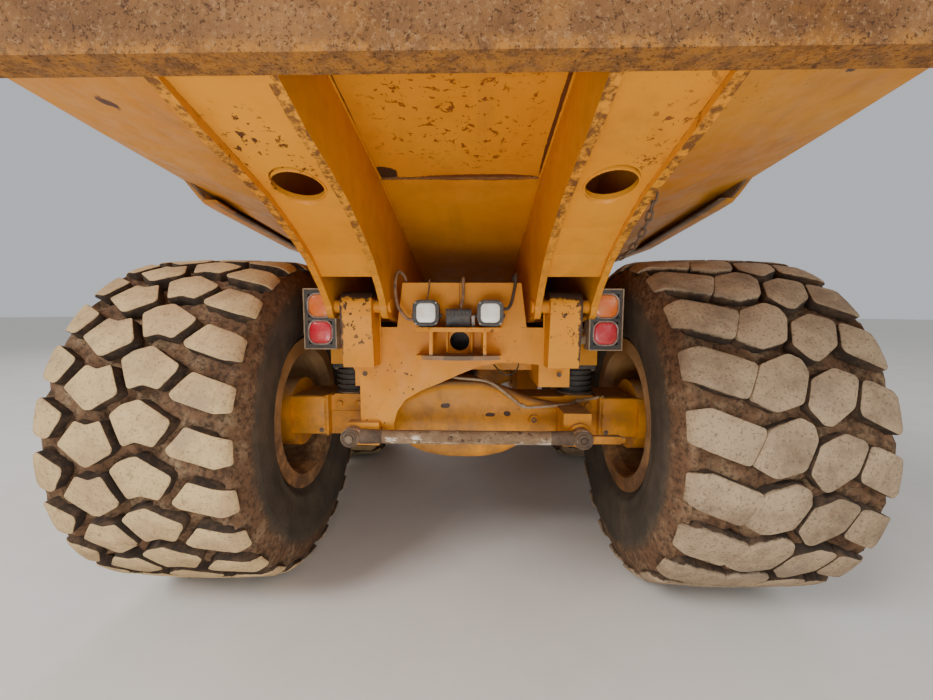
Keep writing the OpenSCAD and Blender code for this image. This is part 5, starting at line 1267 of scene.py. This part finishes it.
    # Exhaust: clamp bands, perforated shield and slanted outlet
    bm = bmesh.new()
    low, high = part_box("exhaust_stack")
    c = Vector(((low[0] + high[0]) / 2, (low[1] + high[1]) / 2, 0))
    for z in (1.56, 2.05, 2.56):
        turned(bm, [(0.1085, 0), (0.1135, 0.002), (0.1135, 0.026), (0.1085, 0.028), (0.1085, 0)], c + Z * z, Z, 48)
    turned(bm, [(0.108, 0), (0.1, 0.02), (0.066, 0.06), (0.0615, 0.06), (0.0615, 0), (0.108, 0)], c + Z * 2.648, Z, 48)
    turned(bm, [(0, 0.003), (0.05, 0.003), (0.05, -0.06), (0.0628, -0.06), (0.0628, 0)], c + Z * 3.297, Z, 40)
    for k in range(14):
        a = math.tau * (k + 0.5) / 14
        for j in range(7):
            drum(bm, c + Vector((0.1085 * math.cos(a), 0.1085 * math.sin(a), 2.12 + 0.055 * j)),
                 c + Vector((0.1125 * math.cos(a), 0.1125 * math.sin(a), 2.12 + 0.055 * j)), 0.01, sides=10)
    piece(bm, "exhaust_bands", "dirty_steel", "front_unit")

    # Decks: raised tread pattern, toe boards; handrail feet and clamps; step teeth
    bm = bmesh.new()
    for s in (-1, 1):
        for i in range(17):
            for j in range(17):
                x, yy = s * (0.89 + 0.043 * i), -4.225 + 0.044 * j
                turn = Matrix.Rotation(math.radians(45 if (i + j) % 2 else -45), 3, "Z")
                brick(bm, (x, yy, 1.501), (0.026, 0.006, 0.003), 0, turn=turn)
        block(bm, (s * 1.598 - 0.004, -4.255, 1.499), (s * 1.598 + 0.002, -3.47, 1.575), 0.001)
        for yy in (-4.225, -3.525):
            drum(bm, (s * 1.56, yy, 1.4995), (s * 1.56, yy, 1.508), 0.045, sides=24, round_=0.002)
            bolts(bm, ring((s * 1.56, yy, 1.508), Z, 0.033, 4, 0.785), Z, 0.006, 0.006)
            for z in (1.98, 2.45):
                drum(bm, (s * 1.56, yy, z - 0.03), (s * 1.56, yy, z + (0.03 if z < 2 else 0.012)), 0.021, sides=20,
                     round_=0.003)
    piece(bm, "deck_treads", "black_steel", "front_unit")
    bm = bmesh.new()
    low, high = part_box("boarding_steps")
    tooth = [(0.004, 0), (0.006, 0.005), (0.01, 0.005), (0.011, 0), (0.004, 0)]
    for i in range(3):
        z, y0 = 0.59 + 0.29 * i, low[1] + 0.02 + 0.06 * i
        for k in range(15):
            for j in range(4):
                x, yy = 1.08 + 0.028 * k, y0 + 0.035 + 0.062 * j
                turned(bm, tooth, (x, yy, z - 0.0005), Z, 6)
    for x in (1.04, 1.52):
        pipe(bm, [(x, -3.52, 1.3), (x, -3.5, 1.36), (x, -3.498, 1.48)], 0.013, steps=5)
    piece(bm, "step_teeth", "black_steel", "front_unit")


def cab():
    front, rear = -3.5, -1.95
    lean = 0.17 / 1.29
    # Rubber seals round each window
    bm = bmesh.new()

    def seal(corners, r=0.016):
        points = []
        n = len(corners)
        for i in range(n):
            a, b = Vector(corners[i]), Vector(corners[(i + 1) % n])
            points += [a.lerp(b, t) for t in (0.04, 0.25, 0.5, 0.75, 0.96)]
        tube(bm, points, r, 10, closed=True)

    def screen(x, z):
        return x, front + 0.01 + lean * max(0, z - 2.35), z
    seal([screen(-0.738, 2.422), screen(0.738, 2.422), screen(0.738, 3.538), screen(-0.738, 3.538)], 0.018)
    seal([(x, rear - 0.018, z) for x, z in ((-0.698, 2.452), (0.698, 2.452), (0.698, 3.478), (-0.698, 3.478))])
    for a, b in ((-3.17, -2.67), (-2.6, -2.1)):
        seal([(-0.838, q, z) for q, z in ((a, 2.402), (b, 2.402), (b, 3.478), (a, 3.478))])
    seal([(0.838, q, z) for q, z in ((-2.2, 2.402), (-2.06, 2.402), (-2.06, 3.478), (-2.2, 3.478))], 0.012)
    piece(bm, "window_seals", "black_rubber", "front_unit")
    bm = bmesh.new()
    seal([(0.838, q, z) for q, z in ((-3.09, 2.382), (-2.37, 2.382), (-2.37, 3.428), (-3.09, 3.428))])
    seal([(0.846, q, z) for q, z in ((-3.171, 2.018), (-2.289, 2.018), (-2.289, 3.511), (-3.171, 3.511))], 0.008)
    block(bm, (0.848, -2.345, 2.255), (0.858, -2.3, 2.345), 0.004)
    pipe(bm, [(0.852, -2.325, 2.27), (0.885, -2.325, 2.28), (0.885, -2.325, 2.33), (0.852, -2.325, 2.34)], 0.008,
         steps=5)
    piece(bm, "door_seal", "black_rubber", "cab_door")

    # Wipers, roof lamps, beacon foot and grab bars
    bm = bmesh.new()
    for x in (-0.28, 0.36):
        foot = Vector(screen(x, 2.4)) - Y * 0.02
        tip = Vector(screen(x + 0.2, 2.98)) - Y * 0.035
        drum(bm, foot + Y * 0.02, foot - Y * 0.018, 0.018, sides=20, round_=0.003)
        tube(bm, [foot - Y * 0.012, foot.lerp(tip, 0.4) - Y * 0.018, tip], 0.007, 8)
        a, b = Vector(screen(x + 0.14, 2.62)), Vector(screen(x + 0.26, 3.3))
        tube(bm, [q - Y * 0.024 for q in (a, a.lerp(b, 0.5), b)], 0.008, 8)
    for x in (-0.62, -0.3, 0.3, 0.62):
        slab(bm, rounded(x, 3.655, 0.15, 0.1, 0.02, 4), "y", front + 0.2, front + 0.275, 0.006)
        block(bm, (x - 0.02, front + 0.24, 3.6), (x + 0.02, front + 0.3, 3.64), 0.003)
    for x in (-0.55, 0.55):
        slab(bm, rounded(x, 3.6, 0.14, 0.1, 0.02, 4), "y", rear - 0.03, rear + 0.05, 0.006)
    drum(bm, (0.55, -2.35, 3.7), (0.55, -2.35, 3.7195), 0.06, sides=32, round_=0.004)
    for s in (-1, 1):
        route = ((0.852, 0.1, 2.1), (0.9, 0.09, 2.12), (0.9, 0.09, 2.3), (0.9, 0.1, 2.95), (0.852, 0.13, 2.98))
        pipe(bm, [(s * a, front + b, c) for a, b, c in route], 0.014, 12)
    piece(bm, "cab_fittings", "plastic", "front_unit")
    bm = bmesh.new()
    for x in (-0.62, -0.3, 0.3, 0.62):
        slab(bm, rounded(x, 3.655, 0.128, 0.078, 0.014, 4), "y", front + 0.194, front + 0.203, 0.002)
    for x in (-0.55, 0.55):
        slab(bm, rounded(x, 3.6, 0.118, 0.078, 0.014, 4), "y", rear + 0.048, rear + 0.056, 0.002)
    piece(bm, "roof_lamp_glasses", "lamp_glass", "front_unit")

    # Mirrors: housing and glass
    bm, glass = bmesh.new(), bmesh.new()
    slab(bm, rounded(1.54, 2.7, 0.196, 0.392, 0.045), "y", -4.208, -4.174, 0.012, 3)
    lens(glass, 1.54, 2.79, 0.166, 0.18, 0.03, -4.178, -4.1725, 0.001)
    lens(glass, 1.54, 2.6, 0.166, 0.15, 0.03, -4.178, -4.1725, 0.001)
    tube(bm, [Vector((1.56, -4.225, z)) for z in (2.468, 2.6, 2.75, 2.89)], 0.0139, 12)
    for z in (2.58, 2.82):
        block(bm, (1.535, -4.232, z - 0.02), (1.585, -4.205, z + 0.02), 0.004)
    both_sides(bm)
    both_sides(glass)
    piece(bm, "mirror_heads", "plastic", "front_unit", replaces=("mirrors",))
    piece(glass, "mirror_glasses", "mirror", "front_unit")


def cushion(bm, low, high, channels=(), across="Y", depth=0.01, cuts=26):
    """A swollen pad with rounded edges and sewn channels on its front face."""
    low, high = Vector(low), Vector(high)
    mid, half = (low + high) / 2, (high - low) / 2
    count = len(bm.verts)
    made = bmesh.ops.create_cube(bm, size=2)["verts"]
    edges = edges_at(made)
    bmesh.ops.subdivide_edges(bm, edges=edges, cuts=cuts, use_grid_fill=True)
    for v in list(bm.verts)[count:]:
        p = v.co.copy()
        size = sum(abs(c) ** 7 for c in p) ** (1 / 7)
        swell = 1 - 0.05 * (p.x * p.x + p.y * p.y + p.z * p.z - 1) / 2
        q = Vector([p[i] / size * half[i] * swell for i in range(3)])
        for c in channels:
            along = q.y if across == "Y" else q.x if across == "X" else q.z
            sunk = depth * math.exp(-((along - c) / 0.011) ** 2)
            q -= Vector([min(sunk, 0.9 * abs(q[i])) * (p[i] / size) ** 5 if half[i] == min(half) else 0
                         for i in range(3)])
        v.co = mid + q


def seat():
    y, z = -2.55, 1.96
    bm = bmesh.new()
    cushion(bm, (-0.258, y - 0.258, z + 0.3), (0.258, y + 0.2, z + 0.438), (-0.11, 0.02, 0.13))
    cushion(bm, (-0.246, y + 0.178, z + 0.442), (0.246, y + 0.296, z + 1.075), (-0.18, -0.04, 0.1, 0.22), "Z")
    cushion(bm, (-0.136, y + 0.196, z + 1.092), (0.136, y + 0.278, z + 1.286), (0,), "Z", cuts=16)
    pad = piece(bm, "seat_cushions", "cushion", "front_unit", replaces=("driver_seat",), sharp=80)
    bm = bmesh.new()
    slab(bm, rounded(0, y, 0.5, 0.5, 0.05), "z", z + 0.268, z + 0.302, 0.008)
    for k in range(7):
        turned(bm, [(0.128, 0), (0.156, 0.012), (0.156, 0.02), (0.128, 0.032)], (0, y, z + 0.03 + 0.034 * k), Z, 40)
    drum(bm, (0, y, z), (0, y, z + 0.268), 0.128, sides=40)
    slab(bm, rounded(0, y, 0.44, 0.46, 0.03), "z", z, z + 0.028, 0.006)
    for s in (-1, 1):
        slab(bm, rounded(s * 0.275, y + 0.02, 0.06, 0.3, 0.025), "z", z + 0.6, z + 0.645, 0.014, 3)
        block(bm, (s * 0.265 - 0.014, y + 0.13, z + 0.32), (s * 0.265 + 0.014, y + 0.2, z + 0.61), 0.006)
        drum(bm, (s * 0.07, y + 0.237, z + 1.06), (s * 0.07, y + 0.237, z + 1.12), 0.01, sides=16)
    piece(bm, "seat_base", "plastic", "front_unit")
    # Binnacle, blank gauges and screen, switches, console and pedals
    bm, glass = bmesh.new(), bmesh.new()
    f, top = -3.5, 2.345
    slab(bm, [(f + 0.09, top - 0.02), (f + 0.3, top - 0.02), (f + 0.315, top + 0.03), (f + 0.23, top + 0.115),
              (f + 0.12, top + 0.11), (f + 0.07, top + 0.04)], "x", -0.26, 0.26, 0.018, 3)
    r = 0.042
    for x in (-0.155, -0.052, 0.052, 0.155):
        way = Vector((0, 0.7, 0.71))
        spot = Vector((x, f + 0.272, top + 0.073))
        turned(bm, [(r, 0), (r, 0.01), (r + 0.006, 0.01), (r + 0.008, 0)], spot, way, 32)
        turned(glass, [(0, 0.005), (r, 0.004), (r, -0.002), (0, -0.002)], spot, way, 32)
    block(bm, (-0.62, f + 0.1, top - 0.004), (-0.4, f + 0.28, top + 0.012), 0.006)
    block(glass, (-0.6, f + 0.19, top + 0.01), (-0.42, f + 0.205, top + 0.135), 0.004)
    block(bm, (-0.61, f + 0.175, top), (-0.41, f + 0.192, top + 0.145), 0.006)
    for k in range(6):
        block(bm, (0.36 + 0.05 * k, f + 0.27, top - 0.05), (0.395 + 0.05 * k, f + 0.306, top - 0.02), 0.003)
    slab(bm, rounded(-0.52, -2.6, 0.3, 0.72, 0.05), "z", 1.961, 2.4, 0.02, 3)
    for yy in (-2.84, -2.7):
        pipe(bm, [(-0.5, yy, 2.39), (-0.5, yy + 0.005, 2.45), (-0.49, yy + 0.015, 2.52)], 0.009, steps=5)
        drum(bm, (-0.49, yy + 0.015, 2.515), (-0.488, yy + 0.018, 2.575), 0.02, 0.016, 20, 0.006)
    for x in (-0.12, 0.1):
        slab(bm, rounded(x, 2.07, 0.08, 0.13, 0.015, 4), "y", f + 0.33, f + 0.342, 0.003)
        tube(bm, [(x, f + 0.335, 2.03), (x, f + 0.36, 1.99), (x, f + 0.38, 1.965)], 0.01, 8)
    piece(bm, "dash_details", "plastic", "front_unit")
    piece(glass, "dash_glasses", "glass_black", "front_unit")


# One operator for each step, in the order in which they run

class TRUCK_OT_stage(bpy.types.Operator):
    """Floor, soft lights and the camera"""
    bl_idname = "truck.stage"
    bl_label = "Stage"

    def execute(self, context):
        stage(context)
        return {"FINISHED"}


class TRUCK_OT_dress(bpy.types.Operator):
    """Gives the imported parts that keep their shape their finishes"""
    bl_idname = "truck.dress"
    bl_label = "Finishes of the main parts"

    def execute(self, context):
        dress()
        return {"FINISHED"}


class TRUCK_OT_tyres(bpy.types.Operator):
    """The six tyres with their tread blocks and mud"""
    bl_idname = "truck.tyres"
    bl_label = "Tyres"

    def execute(self, context):
        tyres()
        return {"FINISHED"}


class TRUCK_OT_rear_lamps(bpy.types.Operator):
    """Tail lamp lenses and frames, the two work lamps and the reversing alarm between them"""
    bl_idname = "truck.rear_lamps"
    bl_label = "Rear lamps"

    def execute(self, context):
        rear_lamps()
        return {"FINISHED"}


class TRUCK_OT_cables(bpy.types.Operator):
    """Lamp and alarm cables, the lines in the frame and the hanging chain"""
    bl_idname = "truck.cables"
    bl_label = "Cables and chain"

    def execute(self, context):
        cables()
        return {"FINISHED"}


class TRUCK_OT_rear_frame(bpy.types.Operator):
    """Welds, pins, bolts and lips of the rear frame and its tow bracket"""
    bl_idname = "truck.rear_frame"
    bl_label = "Rear frame details"

    def execute(self, context):
        rear_frame()
        return {"FINISHED"}


class TRUCK_OT_body(bpy.types.Operator):
    """Welds, rails and plates of the tipping body"""
    bl_idname = "truck.body"
    bl_label = "Body details"

    def execute(self, context):
        body()
        return {"FINISHED"}


class TRUCK_OT_axles(bpy.types.Operator):
    """Bolts, plugs, pipes, bushes and lugs of the middle and rear axles and their rods"""
    bl_idname = "truck.axles"
    bl_label = "Axle details"

    def execute(self, context):
        axles()
        return {"FINISHED"}


class TRUCK_OT_wheels(bpy.types.Operator):
    """Nuts, hub covers, lock rings and valves of the six rims"""
    bl_idname = "truck.wheels"
    bl_label = "Wheel details"

    def execute(self, context):
        wheels()
        return {"FINISHED"}


class TRUCK_OT_cylinders(bpy.types.Operator):
    """Glands, pin caps and oil pipes of the hoist and steering cylinders, and bolts of the hitch"""
    bl_idname = "truck.cylinders"
    bl_label = "Cylinder details"

    def execute(self, context):
        cylinders()
        return {"FINISHED"}


class TRUCK_OT_front(bpy.types.Operator):
    """Headlamps, grille core, hood trim, bumper, tank, exhaust, decks, steps and rails"""
    bl_idname = "truck.front"
    bl_label = "Front details"

    def execute(self, context):
        front()
        return {"FINISHED"}


class TRUCK_OT_cab(bpy.types.Operator):
    """Seals, wipers, handles, beacon, lamps and mirrors of the cab"""
    bl_idname = "truck.cab"
    bl_label = "Cab details"

    def execute(self, context):
        cab()
        return {"FINISHED"}


class TRUCK_OT_seat(bpy.types.Operator):
    """Padded driver's seat on its sprung base, and what stands round it"""
    bl_idname = "truck.seat"
    bl_label = "Seat and controls"

    def execute(self, context):
        seat()
        return {"FINISHED"}


OPERATORS = [TRUCK_OT_stage, TRUCK_OT_dress, TRUCK_OT_tyres, TRUCK_OT_rear_lamps, TRUCK_OT_cables,
             TRUCK_OT_rear_frame, TRUCK_OT_body, TRUCK_OT_axles, TRUCK_OT_wheels, TRUCK_OT_cylinders,
             TRUCK_OT_front, TRUCK_OT_cab, TRUCK_OT_seat]
GROUPS = {"truck_finishes": TruckFinishes, "truck_tyres": TruckTyres, "truck_view": TruckView}


class TRUCK_PT_builder(bpy.types.Panel):
    """Lists the steps that build the truck's looks"""
    bl_idname = "TRUCK_PT_builder"
    bl_label = "Dump truck"
    bl_space_type = "VIEW_3D"
    bl_region_type = "UI"
    bl_category = "Truck"

    def draw(self, context):
        for name, group in GROUPS.items():
            for key in group.__annotations__:
                self.layout.prop(getattr(context.scene, name), key)
        for operator in OPERATORS:
            self.layout.operator(operator.bl_idname)


def register():
    for group in GROUPS.values():
        bpy.utils.register_class(group)
    for name, group in GROUPS.items():
        setattr(bpy.types.Scene, name, bpy.props.PointerProperty(type=group))
    for operator in OPERATORS:
        bpy.utils.register_class(operator)
    bpy.utils.register_class(TRUCK_PT_builder)


def unregister():
    bpy.utils.unregister_class(TRUCK_PT_builder)
    for operator in reversed(OPERATORS):
        bpy.utils.unregister_class(operator)
    for name in GROUPS:
        delattr(bpy.types.Scene, name)
    for group in reversed(GROUPS.values()):
        bpy.utils.unregister_class(group)


def main():
    register()
    for operator in OPERATORS:
        group, name = operator.bl_idname.split(".")
        getattr(getattr(bpy.ops, group), name)()


if __name__ == "__main__":
    main()
